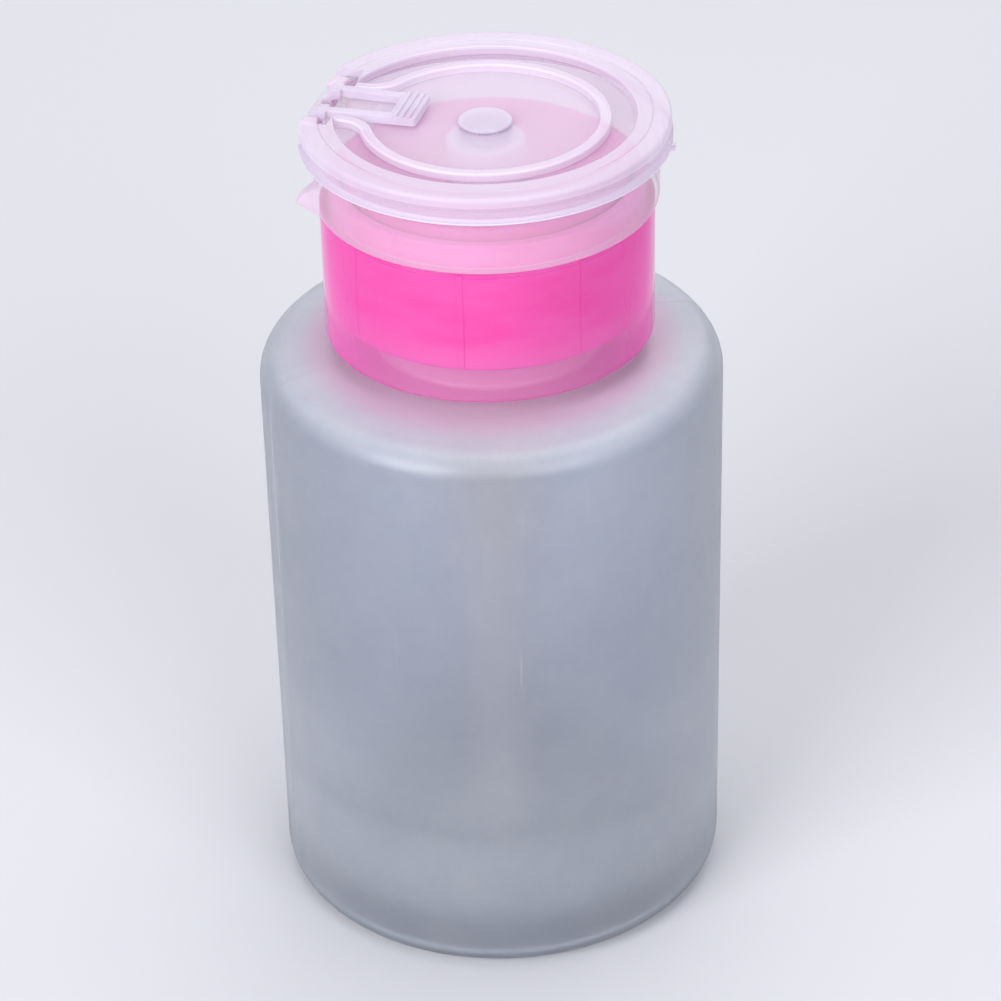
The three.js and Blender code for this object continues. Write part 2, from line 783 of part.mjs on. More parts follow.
function makeDish() {
  const seatTop = outletSeatBottom + outletChamber - outletSeatHole;
  const floorRadius = dishRadius - dishLip - dishSlope;
  const socket = stemRadius + clearance;
  const skirtInner = dishRadius - dishWall;
  const outline = [
    point(outletSeatHole, dishFloor),
    point(socket, dishFloor),
    point(socket, dishUnder - bossDepth),
    point(bossRadius, dishUnder - bossDepth),
    point(bossRadius, dishUnder),
    point(floorRadius, dishUnder),
    point(skirtInner, dishTop - dishSkirt + dishWall),
    point(skirtInner, dishTop - dishSkirt),
    point(dishRadius, dishTop - dishSkirt),
    point(dishRadius, dishTop),
    point(dishRadius - dishLip, dishTop),
    point(floorRadius, dishFloor),
    point(dishStepRadius, dishFloor),
    point(dishStepRadius, dishFloor + dishStepRise),
    point(bossRadius, dishFloor + dishStepRise),
    point(bossRadius, bossTop),
    point(outletChamber, bossTop),
    point(outletChamber, seatTop),
    point(outletSeatHole, outletSeatBottom),
  ];
  return turned(outline, midSteps);
}

place('press_dish', makeDish(), finishes.pinkCap());

function makeNozzle() {
  const bottom = dishFloor + dishStepRise + clearance;
  const outline = [
    point(nozzleInnerRadius, bottom),
    point(nozzleRadius, bottom),
    point(nozzleRadius, nozzleTop - nozzleWall / 2),
    point(nozzleRadius - nozzleWall / 2, nozzleTop),
    point(nozzleHole, nozzleTop),
    point(nozzleHole, nozzleTop - nozzleRoof),
    point(nozzleInnerRadius, nozzleTop - nozzleRoof),
  ];
  return turned(outline, narrowSteps);
}

place('nozzle_cap', makeNozzle(), finishes.naturalPale());

// Lid

// One edge of the keyhole rib, from one end of the straight walls round to the other.
function keyholeEdge(offset) {
  const reach = ribRadius + keyholeFillet;
  const rise = keyholeHalf + keyholeFillet;
  const run = Math.sqrt(reach * reach - rise * rise);
  const turn = THREE.MathUtils.radToDeg(Math.atan2(rise, run));
  const bend = keyholeFillet - offset;
  const upper = [
    point(-troughRadius - plugWall / 2, keyholeHalf + offset),
    ...corner(-run, rise, bend, -90, -turn, 2 * cornerSteps),
  ];
  const round = corner(0, 0, ribRadius + offset, 180 - turn, turn - 180, wideSteps).slice(1, -1);
  const lower = upper.map((spot) => point(spot.x, -spot.y)).reverse();
  return [...upper, ...round, ...lower];
}

function makeLid() {
  const plateUnder = lidTop - lidPlate;
  const panelUnder = panelTop - panelThickness;
  const skirtRadius = lidRadius + skirtProud;
  const outline = [
    point(stopperNeck + clearance, panelUnder),
    point(plugRadius, panelUnder),
    point(plugRadius, plateUnder),
    point(lidRadius - skirtWall, plateUnder),
    point(lidRadius - skirtWall, skirtBottom),
    point(skirtRadius, skirtBottom),
    point(skirtRadius, grooveHeight - skirtGroove),
    point(lidRadius - skirtGroove, grooveHeight),
    point(lidRadius, grooveHeight + skirtGroove),
    ...corner(lidRadius - lidEdge, lidTop - lidEdge, lidEdge, 0, 90, cornerSteps / 2),
    point(troughRadius + rimLineWidth, lidTop),
    point(troughRadius + rimLineWidth, lidTop - rimLineDrop),
    point(troughRadius, lidTop - rimLineDrop),
    point(troughRadius, panelTop),
    point(stopperNeck + clearance, panelTop),
  ];
  const ribOutline = [...keyholeEdge(ribWall / 2), ...keyholeEdge(-ribWall / 2).reverse()];
  const rib = raised(ribOutline, panelTop - panelThickness / 2, panelTop + ribRise);
  const windowInner = -(troughRadius - plugWall);
  const windowLow = [-(skirtRadius + overrun), -windowHalf, skirtBottom - overrun];
  const hingeWindow = box(windowLow, [windowInner, windowHalf, lidTop + overrun]);
  const crossMiddle = -(strapEnd + crossLength / 2);
  const slotHalfLength = pegLength / 2 + clearance;
  const slotHalfWidth = pegWidth / 2 + clearance;
  const slotLow = [crossMiddle - slotHalfLength, -slotHalfWidth, panelUnder - overrun];
  const slotHigh = [crossMiddle + slotHalfLength, slotHalfWidth, panelTop + overrun];
  const nibLow = [skirtRadius - sink, -nibSize / 2, skirtBottom];
  const nib = box(nibLow, [skirtRadius + nibReach, nibSize / 2, skirtBottom + nibSize]);
  return turned(outline, wideSteps)
    .add(rib)
    .subtract(hingeWindow)
    .subtract(box(slotLow, slotHigh))
    .add(nib.rotate([0, 0, nibAngle]));
}

place('lid_shell', makeLid(), finishes.naturalClear());

function makeStopper() {
  const lowerTop = panelTop - panelThickness - clearance;
  const lowerBottom = nozzleTop + clearance;
  const outline = [
    point(0, nozzleTop + clearance - stopperTipLength),
    point(stopperTip, nozzleTop + clearance - stopperTipLength),
    point(stopperTip, lowerBottom),
    point(stopperRadius, lowerBottom),
    point(stopperRadius, lowerTop),
    point(stopperNeck, lowerTop),
    point(stopperNeck, panelTop + clearance),
    point(stopperRadius, panelTop + clearance),
    point(stopperRadius, stopperTop),
    point(0, stopperTop),
  ];
  return turned(outline, narrowSteps);
}

place('lid_stopper', makeStopper(), finishes.naturalPale());

// Hinge strap: two knuckles, two legs and the ribbed cross block with its peg

function makeStrap() {
  const rootX = -(hingeRadius - knuckleRadius);
  const endX = -strapEnd;
  const crossX = endX - crossLength;
  const innerRoot = strapRootHalf - strapLegWidth;
  const innerEnd = strapEndHalf - strapLegWidth;
  const outerLine = [
    point(rootX, -strapRootHalf),
    point(endX, -strapEndHalf),
    point(endX, strapEndHalf),
    point(rootX, strapRootHalf),
    point(rootX, innerRoot),
    point(crossX, innerEnd),
    point(crossX, -innerEnd),
    point(rootX, -innerRoot),
  ];
  let strap = raised(outerLine, strapBottom, strapTop);
  for (const side of [-1, 1]) {
    const from = Math.min(side * knuckleNear, side * knuckleFar);
    const knuckle = sideways(knuckleOutline(rootX), from, from + knuckleWidth);
    strap = strap.add(knuckle);
  }
  const boreHalf = knuckleFar + overrun;
  strap = strap.subtract(hingeBar(pinRadius + clearance, -boreHalf, boreHalf));
  const pitch = crossLength / (gripCount + 1);
  for (let i = 1; i <= gripCount; i += 1) {
    const middle = endX - i * pitch;
    const low = [middle - gripWidth / 2, -strapEndHalf, strapTop - sink];
    strap = strap.add(box(low, [middle + gripWidth / 2, strapEndHalf, strapTop + gripHeight]));
  }
  const pegMiddle = (endX + crossX) / 2;
  const pegLow = [pegMiddle - pegLength / 2, -pegWidth / 2, strapBottom - pegDrop];
  const pegHigh = [pegMiddle + pegLength / 2, pegWidth / 2, strapBottom + sink];
  return strap.add(box(pegLow, pegHigh));
}

// A knuckle is round about the pin and rises to the leg's top on its inner side.
function knuckleOutline(rootX) {
  return [
    ...corner(-hingeRadius, hingeHeight, knuckleRadius, 135, 360, 3 * cornerSteps),
    point(rootX, strapBottom - sink),
    point(rootX + strapLegWidth, strapBottom),
    point(rootX + strapLegWidth, strapTop),
    point(rootX, strapTop),
  ];
}

place('hinge_loop', makeStrap(), finishes.naturalPale());

export default part;
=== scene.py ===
"""Press-dish pump bottle for nail polish remover, dressed for rendering.

A frosted blow-moulded bottle carries a pink screw closure in a clear tinted sleeve, a pale band with a
finger tab, a press dish with its nozzle, and a clear flip lid on a hinge strap.

The object's sizes are in millimetres, with +Z up, the origin in the middle of the base and the lid's
hinge on the -X side. Its meshes are made in metres, and the studio's sizes are in metres.
"""

import logging
import math
from dataclasses import dataclass
from enum import Enum
from itertools import pairwise
from typing import Callable, Sequence

import bmesh
import bpy
from mathutils import Matrix, Vector


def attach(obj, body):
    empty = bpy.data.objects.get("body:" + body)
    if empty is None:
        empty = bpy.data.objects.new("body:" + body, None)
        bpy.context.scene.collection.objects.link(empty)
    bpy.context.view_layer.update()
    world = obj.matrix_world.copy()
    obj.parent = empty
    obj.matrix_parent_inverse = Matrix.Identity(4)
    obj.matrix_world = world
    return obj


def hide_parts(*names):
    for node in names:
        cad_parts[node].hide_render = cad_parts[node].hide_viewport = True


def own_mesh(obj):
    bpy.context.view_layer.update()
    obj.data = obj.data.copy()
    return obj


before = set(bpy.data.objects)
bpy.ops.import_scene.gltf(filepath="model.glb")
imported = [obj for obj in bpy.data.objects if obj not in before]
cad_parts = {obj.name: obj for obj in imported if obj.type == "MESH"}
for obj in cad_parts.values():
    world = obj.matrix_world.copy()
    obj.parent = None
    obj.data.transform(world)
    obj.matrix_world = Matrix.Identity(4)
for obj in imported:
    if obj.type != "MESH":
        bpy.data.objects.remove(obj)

LOG = logging.getLogger("pump_bottle")
MM = 0.001  # metres in a millimetre
CLEARANCE = 0.3  # gap between pieces that sit or slide on each other
OVERRUN = 2.0  # how far a cutter passes what it cuts
SINK = 0.4  # how deep joined shapes reach into each other
WELD = 1e-6  # metres within which points of a mesh are one
BEYOND = 40.0  # a radius past the widest place
FINE_STEPS = 192  # round a large piece that is seen
ROUND_STEPS = 128  # round a large piece that is hidden
SMALL_STEPS = 64  # round a small piece
CORNER_STEPS = 5  # in a rounded corner
BALL_STEPS = 14  # from a ball's pole to its middle
EDGE_STEPS = 3  # in a rounded edge
SMOOTH_ANGLE = 34.0  # degrees up to which two faces shade as one
SHARP_ANGLE = 40.0  # degrees past which an edge is softened
ENDWISE = 0.9  # a face looks along an axis if its normal has at least this much of it
FLUSH = 0.3  # a face lies along a direction if its normal has less than this of it
PARTING_ANGLE = 35.5  # of the plane where the bottle's mould opened, from +X
EDGE_POWER = 3.0  # how suddenly a clear wall gets denser as it turns away
GRAIN_OCTAVES = 2.0
GRAIN_STRENGTH = 0.5

Outline = Sequence[tuple[float, ...]]


class Body(Enum):
    """The rigid bodies that pieces ride on."""

    BOTTLE = "bottle"
    PUMP = "pump_unit"
    INLET = "inlet_valve"
    CLOSURE = "closure"
    PLUNGER = "plunger"
    OUTLET = "outlet_valve"
    LID = "lid"


class Slot(Enum):
    """The material slots of the part's record."""

    FROSTED = "frosted_bottle"
    CLEAR = "natural_clear"
    PALE = "natural_pale"
    PINK = "pink_cap"
    SLEEVE = "pink_sleeve"
    STEEL = "steel"
    SEAL = "seal"


class Join(Enum):
    """Ways to combine two solids."""

    ADD = "UNION"
    CUT = "DIFFERENCE"


# Points and outlines


def polar(radius: float, degrees: float, height: float = 0.0) -> Vector:
    """Return the place at a radius and an angle from +X."""
    angle = math.radians(degrees)
    return Vector((radius * math.cos(angle), radius * math.sin(angle), height))


def arc(centre: Sequence[float], radius: float, start: float, end: float, steps: int) -> list[Vector]:
    """Return the points of an arc.

    Args:
        centre: The middle of the circle, across and up.
        radius: The circle's radius.
        start: Angle of the first point, in degrees.
        end: Angle of the last point.
        steps: Steps between them.

    Returns:
        Points in the plane of the circle.
    """
    angles = [math.radians(start + (end - start) * i / steps) for i in range(steps + 1)]
    return [Vector(centre) + radius * Vector((math.cos(a), math.sin(a))) for a in angles]


def rounded(outline: Outline, steps: int = CORNER_STEPS, closed: bool = True) -> list[Vector]:
    """Turn an outline's corners into arcs.

    Args:
        outline: Corners as (across, up) or (across, up, radius), in millimetres.
        steps: Steps in each arc.
        closed: Whether the last corner joins the first.

    Returns:
        The points of the rounded outline.
    """
    corners = [Vector(corner[:2]) for corner in outline]
    radii = [corner[2] if len(corner) > 2 else 0.0 for corner in outline]
    points: list[Vector] = []
    count = len(corners)
    for i, (here, radius) in enumerate(zip(corners, radii)):
        if radius <= 0 or (not closed and i in (0, count - 1)):
            points.append(here)
            continue
        back = (corners[i - 1] - here).normalized()
        ahead = (corners[(i + 1) % count] - here).normalized()
        half = back.angle(ahead) / 2
        reach = radius / math.tan(half)
        centre = here + (back + ahead).normalized() * (radius / math.sin(half))
        first = here + back * reach - centre
        last = here + ahead * reach - centre
        start = math.atan2(first.y, first.x)
        sweep = math.remainder(math.atan2(last.y, last.x) - start, math.tau)
        for step in range(steps + 1):
            angle = start + sweep * step / steps
            points.append(centre + radius * Vector((math.cos(angle), math.sin(angle))))
    return points


def ring(bore: float, outer: float, low: float, high: float, bore_edge: float, edge: float) -> Outline:
    """Return the outline of a plain ring.

    Args:
        bore: Its inner radius.
        outer: Its outer radius.
        low: Height of its underside.
        high: Height of its top.
        bore_edge: Rounding of the bore's two edges.
        edge: Rounding of the two outer edges.

    Returns:
        Its four corners.
    """
    return [(bore, low, bore_edge), (outer, low, edge), (outer, high, edge), (bore, high, bore_edge)]


# Modelling


def deselect() -> None:
    """Deselect every object."""
    bpy.ops.object.select_all(action="DESELECT")


def activate(obj: bpy.types.Object) -> None:
    """Make one object the only selected and the active one.

    Args:
        obj: The object.
    """
    deselect()
    obj.select_set(True)
    bpy.context.view_layer.objects.active = obj


def enter(obj: bpy.types.Object) -> None:
    """Enter an object's edit mode with all of it selected.

    Args:
        obj: The object.
    """
    activate(obj)
    bpy.ops.object.mode_set(mode="EDIT")
    bpy.ops.mesh.select_mode(type="VERT")
    bpy.ops.mesh.select_all(action="SELECT")


def leave() -> None:
    """Return to object mode."""
    bpy.ops.object.mode_set(mode="OBJECT")


def leave_outwards() -> None:
    """Point all faces of the mesh in edit mode outwards, and return to object mode."""
    bpy.ops.mesh.select_all(action="SELECT")
    bpy.ops.mesh.normals_make_consistent(inside=False)
    leave()


def round_edges(width: float) -> None:
    """Round the selected edges in edit mode, by a width in millimetres."""
    bpy.ops.mesh.bevel(offset=width * MM, segments=EDGE_STEPS, affect="EDGES")


def settled(name: str) -> bpy.types.Object:
    """Name the primitive that was just added, and put its place into its mesh.

    Args:
        name: Its name.

    Returns:
        The object, at the origin.
    """
    obj = bpy.context.object
    obj.name = obj.data.name = name
    bpy.ops.object.transform_apply(location=True, rotation=True, scale=True)
    return obj


def finish_modifier(obj: bpy.types.Object, modifier: bpy.types.Modifier) -> bpy.types.Object:
    """Apply a modifier.

    Args:
        obj: The object that has it.
        modifier: The modifier.

    Returns:
        The same object.
    """
    activate(obj)
    bpy.ops.object.modifier_apply(modifier=modifier.name)
    return obj


def smooth(obj: bpy.types.Object) -> bpy.types.Object:
    """Shade an object smooth, apart from its sharper edges.

    Args:
        obj: The object.

    Returns:
        The same object.
    """
    activate(obj)
    bpy.ops.object.shade_smooth_by_angle(angle=math.radians(SMOOTH_ANGLE))
    return obj


def drawn(name: str, points: Sequence[Vector], closed: bool = True) -> bpy.types.Object:
    """Draw a line of edges by extruding one point along it, and stay in edit mode.

    Args:
        name: The new object's name.
        points: Places in millimetres.
        closed: Whether the line returns to its first point.

    Returns:
        The object, in edit mode, with all of it selected.
    """
    deselect()
    bpy.ops.mesh.primitive_plane_add(size=MM, location=points[0] * MM)
    obj = settled(name)
    enter(obj)
    bpy.ops.mesh.merge(type="CENTER")
    route = [*points, points[0]] if closed else list(points)
    for here, there in pairwise(route):
        bpy.ops.mesh.extrude_region_move(TRANSFORM_OT_translate={"value": (there - here) * MM})
    bpy.ops.mesh.select_all(action="SELECT")
    bpy.ops.mesh.remove_doubles(threshold=WELD)
    bpy.ops.mesh.select_all(action="SELECT")
    return obj


def turned(
    name: str, outline: Outline, steps: int = ROUND_STEPS, corner_steps: int = CORNER_STEPS
) -> bpy.types.Object:
    """Spin an outline of (radius, height[, rounding]) corners round the upright axis.

    Args:
        name: The new object's name.
        outline: Corners in millimetres, closed on themselves or on the axis.
        steps: Steps round the axis.
        corner_steps: Steps in each rounding.

    Returns:
        The closed, smoothly shaded object.
    """
    on_axis = outline[0][0] == 0 and outline[-1][0] == 0
    line = [Vector((p.x, 0, p.y)) for p in rounded(outline, corner_steps, closed=not on_axis)]
    obj = drawn(name, line, closed=not on_axis)
    bpy.ops.mesh.spin(steps=steps, angle=math.tau, center=(0, 0, 0), axis=(0, 0, 1))
    bpy.ops.mesh.select_all(action="SELECT")
    bpy.ops.mesh.remove_doubles(threshold=WELD)
    leave_outwards()
    return smooth(obj)


def pushed(
    name: str, base: Sequence[Vector], shift: Sequence[float], edge: float = 0.0
) -> bpy.types.Object:
    """Draw a flat outline, fill it and extrude it.

    Args:
        name: The new object's name.
        base: The outline's places, in millimetres.
        shift: The extrusion, in millimetres.
        edge: Rounding of the far side's edges.

    Returns:
        The closed object.
    """
    obj = drawn(name, base)
    bpy.ops.mesh.edge_face_add()
    bpy.ops.mesh.extrude_region_move(TRANSFORM_OT_translate={"value": Vector(shift) * MM})
    if edge > 0:
        round_edges(edge)
    leave_outwards()
    return obj


def raised(
    name: str, plan: Sequence[Vector], bottom: float, top: float, edge: float = 0.0
) -> bpy.types.Object:
    """Raise a plan outline from one height to another, with an edge rounding at the second."""
    return pushed(name, [Vector((p.x, p.y, bottom)) for p in plan], (0, 0, top - bottom), edge)


def sideways(name: str, side: Sequence[Vector], start: float, end: float) -> bpy.types.Object:
    """Give a side outline of (x, z) points a width along Y, from one place to another."""
    return pushed(name, [Vector((p.x, start, p.y)) for p in side], (0, end - start, 0))


def block(name: str, low: Sequence[float], high: Sequence[float], edge: float = 0.0) -> bpy.types.Object:
    """Make a block between two corners.

    Args:
        name: The new object's name.
        low: Lowest corner, in millimetres.
        high: Highest corner, in millimetres.
        edge: Rounding of its edges.

    Returns:
        The closed object.
    """
    low_corner, high_corner = Vector(low) * MM, Vector(high) * MM
    middle, size = (low_corner + high_corner) / 2, high_corner - low_corner
    deselect()
    bpy.ops.mesh.primitive_cube_add(size=1, location=middle, scale=size)
    obj = settled(name)
    if edge > 0:
        enter(obj)
        round_edges(edge)
        leave()
    return obj


def rod(
    name: str, middle: Sequence[float], radius: float, half: float, edge: float = 0.0
) -> bpy.types.Object:
    """Make a round rod along Y.

    Args:
        name: The new object's name.
        middle: Its axis, as (x, z) in millimetres.
        radius: Its radius.
        half: Half of its length.
        edge: Rounding of its ends.

    Returns:
        The closed object.
    """
    circle = arc(middle, radius, 0, 360, SMALL_STEPS)[:-1]
    obj = sideways(name, circle, -half, half)
    if edge > 0:
        pick_faces(obj, lambda face: abs(face.normal.y) > ENDWISE)
        round_edges(edge)
        leave()
    return smooth(obj)


def pick_faces(obj: bpy.types.Object, wanted: Callable[[bpy.types.MeshPolygon], bool]) -> None:
    """Enter edit mode with only the wanted faces selected.

    Args:
        obj: The object.
        wanted: Tells whether a face is wanted.
    """
    found = [face.index for face in obj.data.polygons if wanted(face)]
    enter(obj)
    bpy.ops.mesh.select_mode(type="FACE")
    bpy.ops.mesh.select_all(action="DESELECT")
    mesh = bmesh.from_edit_mesh(obj.data)
    mesh.faces.ensure_lookup_table()
    for index in found:
        mesh.faces[index].select_set(True)
    mesh.select_flush_mode()
    bmesh.update_edit_mesh(obj.data)


def pick_vertices(obj: bpy.types.Object, wanted: Sequence[bool]) -> None:
    """Enter edit mode with only the wanted vertices selected.

    Args:
        obj: The object.
        wanted: For each vertex, whether it is wanted.
    """
    enter(obj)
    bpy.ops.mesh.select_all(action="DESELECT")
    mesh = bmesh.from_edit_mesh(obj.data)
    for vertex, chosen in zip(mesh.verts, wanted):
        vertex.select_set(chosen)
    mesh.select_flush_mode()
    bmesh.update_edit_mesh(obj.data)


def spun(obj: bpy.types.Object, degrees: float) -> bpy.types.Object:
    """Turn an object's mesh round the upright axis, counter-clockwise from above, and return it."""
    obj.data.transform(Matrix.Rotation(math.radians(degrees), 4, "Z"))
    return obj


def combine(obj: bpy.types.Object, other: bpy.types.Object, way: Join) -> None:
    """Combine two solids into the first, and delete the second.

    Args:
        obj: The solid that stays.
        other: The solid that is joined to it or cut from it.
        way: How they combine.
    """
    modifier = obj.modifiers.new(way.name.lower(), "BOOLEAN")
    modifier.operation = way.value
    modifier.solver = "EXACT"
    modifier.object = other
    finish_modifier(obj, modifier)
    bpy.data.meshes.remove(other.data)
    smooth(obj)


def softened(obj: bpy.types.Object, width: float, angle: float = SHARP_ANGLE) -> bpy.types.Object:
    """Round the sharp edges of a solid a little, as a mould does.

    Args:
        obj: The solid.
        width: Width of the rounding, in millimetres.
        angle: Degrees past which an edge counts as sharp.

    Returns:
        The same object.
    """
    modifier = obj.modifiers.new("soften", "BEVEL")
    modifier.width = width * MM
    modifier.segments = 2
    modifier.limit_method = "ANGLE"
    modifier.angle_limit = math.radians(angle)
    return smooth(finish_modifier(obj, modifier))


def wind(obj: bpy.types.Object, turns: float, pitch: float, steps: int) -> None:
    """Wind a closed line of edges up the axis, and cap its two ends.

    Args:
        obj: The object that holds the line.
        turns: How many times it goes round.
        pitch: Rise in one turn, in millimetres.
        steps: Steps in one turn.
    """
    sides = len(obj.data.vertices)
    modifier = obj.modifiers.new("wind", "SCREW")
    modifier.axis = "Z"
    modifier.angle = math.tau * turns
    modifier.screw_offset = pitch * turns * MM
    modifier.steps = modifier.render_steps = round(steps * turns)
    finish_modifier(obj, modifier)
    enter(obj)
    bpy.ops.mesh.fill_holes(sides=sides)
    leave_outwards()
    smooth(obj)


def ball(name: str, radius: float, height: float) -> bpy.types.Object:
    """Turn a ball on the axis.

    Args:
        name: The new object's name.
        radius: The ball's radius.
        height: Height of its middle.

    Returns:
        The closed object.
    """
    quarters = [(radius, height - radius, radius), (radius, height + radius, radius)]
    outline = [(0, height - radius), *quarters, (0, height + radius)]
    return turned(name, outline, SMALL_STEPS, BALL_STEPS)


@dataclass(frozen=True)
class Thread:
    """A screw thread with a flat-topped ridge."""

    pitch: float = 3.2
    root_width: float = 1.8
    crest_width: float = 0.7
    run_out: float = 2.4  # length of the tip at each end
    tip_share: float = 0.15  # size of the tip's end, as a share of the ridge

    def ridge(self, name: str, root: float, crest: float, low: float, turns: float) -> bpy.types.Object:
        """Wind one ridge up the axis, from the +X side.

        Args:
            name: The new object's name.
            root: Radius of the wall that carries the ridge.
            crest: Radius of its flat top.
            low: Height of its middle where it starts.
            turns: How many times it goes round.

        Returns:
            The closed ridge, with ends that run out into the wall.
        """
        buried = root + math.copysign(SINK, root - crest)
        half_root, half_crest = self.root_width / 2, self.crest_width / 2
        section = [
            Vector((buried, 0, low - half_root)),
            Vector((crest, 0, low - half_crest)),
            Vector((crest, 0, low + half_crest)),
            Vector((buried, 0, low + half_root)),
        ]
        obj = drawn(name, section)
        leave()
        wind(obj, turns, self.pitch, SMALL_STEPS)
        for upper in (False, True):
            self._run_out(obj, buried, upper)
        return obj

    def _run_out(self, obj: bpy.types.Object, buried: float, upper: bool) -> None:
        """Draw one end of a ridge out to a thin tip inside the wall.

        Args:
            obj: The ridge.
            buried: Radius at which the tip ends.
            upper: Whether it is the upper end.
        """
        caps = [face for face in obj.data.polygons if self._closes_end(face)]
        cap = (max if upper else min)(caps, key=lambda face: face.center.z)
        index, along, centre = cap.index, cap.normal * self.run_out * MM, cap.center.copy()
        pick_faces(obj, lambda face: face.index == index)
        bpy.ops.mesh.extrude_region_move(TRANSFORM_OT_translate={"value": along})
        tip = Vector((centre.x, centre.y, 0)).normalized() * buried * MM + along
        tip.z = centre.z
        bpy.ops.transform.resize(value=(self.tip_share,) * 3, center_override=tip)
        leave()

    @staticmethod
    def _closes_end(face: bpy.types.MeshPolygon) -> bool:
        """Tell whether a face is one of the ridge's two end caps."""
        outward = Vector((face.center.x, face.center.y, 0)).normalized()
        return abs(face.normal.z) < FLUSH and abs(face.normal @ outward) < FLUSH


# Finishes


def linear(code: str) -> tuple[float, float, float, float]:
    """Turn a colour to linear light.

    Args:
        code: The colour as six sRGB hex digits.

    Returns:
        Red, green, blue and an alpha of 1.
    """
    parts = [int(code[i : i + 2], 16) / 255 for i in (0, 2, 4)]
    light = [p / 12.92 if p <= 0.04045 else ((p + 0.055) / 1.055) ** 2.4 for p in parts]
    return (*light, 1.0)


class Graph:
    """A material's node tree."""

    def __init__(self, name: str) -> None:
        """Start a material with an empty tree.

        Args:
            name: The material's name.
        """
        self.material = bpy.data.materials.new(name)
        self.material.use_nodes = True
        self.tree = self.material.node_tree
        self.tree.nodes.clear()

    def add(self, kind: str, links: dict | None = None, **settings: object) -> bpy.types.Node:
        """Add a node.

        Args:
            kind: The node's type.
            links: A value or an output socket for each input, by its name or number.
            **settings: Properties of the node.

        Returns:
            The new node.
        """
        node = self.tree.nodes.new(kind)
        for name, value in settings.items():
            setattr(node, name, value)
        for name, value in (links or {}).items():
            socket = node.inputs[name]
            if isinstance(value, bpy.types.NodeSocket):
                self.tree.links.new(value, socket)
            else:
                socket.default_value = value
        return node

    def finish(self, shader: bpy.types.Node) -> bpy.types.Material:
        """Send a shader to the output and return the material."""
        self.add("ShaderNodeOutputMaterial", {"Surface": shader.outputs[0]})
        return self.material


@dataclass(frozen=True)
class Zone:
    """A ring of space, between two radii and two heights, where a finish takes a value of its own."""

    inner: float
    outer: float
    low: float
    high: float
    value: float
    fade: float = 0.05  # width of its soft border

    def mask(
        self, graph: Graph, radius: bpy.types.NodeSocket, height: bpy.types.NodeSocket
    ) -> bpy.types.NodeSocket:
        """Add nodes that give the zone's value inside it and 0 outside.

        Args:
            graph: The material's graph.
            radius: Distance from the axis, in metres.
            height: Height, in metres.

        Returns:
            The socket that holds it.
        """
        share: bpy.types.NodeSocket | float = self.value
        for place, low, high in ((radius, self.inner, self.outer), (height, self.low, self.high)):
            half = (high - low) / 2 * MM
            off = graph.add("ShaderNodeMath", {0: place, 1: low * MM + half}, operation="SUBTRACT")
            off = graph.add("ShaderNodeMath", {0: off.outputs[0]}, operation="ABSOLUTE")
            near = graph.add(
                "ShaderNodeMapRange",
                {"Value": off.outputs[0], "From Min": half + self.fade * MM, "From Max": half},
                interpolation_type="SMOOTHSTEP",
            )
            factors = {0: share, 1: near.outputs[0]}
            share = graph.add("ShaderNodeMath", factors, operation="MULTIPLY").outputs[0]
        return share


def highest(
    graph: Graph, place: bpy.types.NodeSocket, zones: Sequence[Zone], least: float
) -> bpy.types.NodeSocket | float:
    """Add nodes for the highest value of the zones at each place.

    Args:
        graph: The material's graph.
        place: The place on the object, in metres.
        zones: The zones.
        least: The value outside them.

    Returns:
        The socket that holds it, or the least value where there are no zones.
    """
    if not zones:
        return least
    axes = graph.add("ShaderNodeSeparateXYZ", {0: place})
    flat = graph.add("ShaderNodeCombineXYZ", {0: axes.outputs[0], 1: axes.outputs[1]})
    radius = graph.add("ShaderNodeVectorMath", {0: flat.outputs[0]}, operation="LENGTH")
    found: bpy.types.NodeSocket | float = least
    for zone in zones:
        share = zone.mask(graph, radius.outputs["Value"], axes.outputs[2])
        found = graph.add("ShaderNodeMath", {0: share, 1: found}, operation="MAXIMUM").outputs[0]
    return found


@dataclass(frozen=True)
class Scuffs:
    """Marks of handling: small specks and short upright hairlines, which scatter more light.

    Real ones are about 0.1 mm wide. A pixel of the render covers 0.13 mm, so they are drawn wider.
    """

    speck_gap: float = 2.8
    speck_size: float = 0.17
    hair_width: float = 0.22
    hair_length: float = 6.0
    hair_start: float = 0.72  # noise at which a hairline begins
    hair_full: float = 0.8
    strength: float = 0.14

    def share(self, graph: Graph, place: bpy.types.NodeSocket) -> bpy.types.NodeSocket:
        """Add nodes that give the marks' strength on them and 0 elsewhere.

        Args:
            graph: The material's graph.
            place: The place on the object, in metres.

        Returns:
            The socket that holds it.
        """
        cells = graph.add("ShaderNodeTexVoronoi", {"Vector": place, "Scale": 1 / (self.speck_gap * MM)})
        half = self.speck_size / self.speck_gap / 2
        specks = graph.add(
            "ShaderNodeMapRange",
            {
                "Value": cells.outputs["Distance"],
                "From Min": half,
                "From Max": half * 2,
                "To Min": self.strength,
                "To Max": 0.0,
            },
        )
        across, along = 1 / (self.hair_width * MM), 1 / (self.hair_length * MM)
        stretched = graph.add("ShaderNodeMapping", {"Vector": place, "Scale": (across, across, along)})
        threads = graph.add(
            "ShaderNodeTexNoise", {"Vector": stretched.outputs[0], "Scale": 1.0, "Detail": 0.0}
        )
        hairs = graph.add(
            "ShaderNodeMapRange",
            {
                "Value": threads.outputs["Fac"],
                "From Min": self.hair_start,
                "From Max": self.hair_full,
                "To Max": self.strength,
            },
        )
        both = {0: specks.outputs[0], 1: hairs.outputs[0]}
        return graph.add("ShaderNodeMath", both, operation="MAXIMUM").outputs[0]


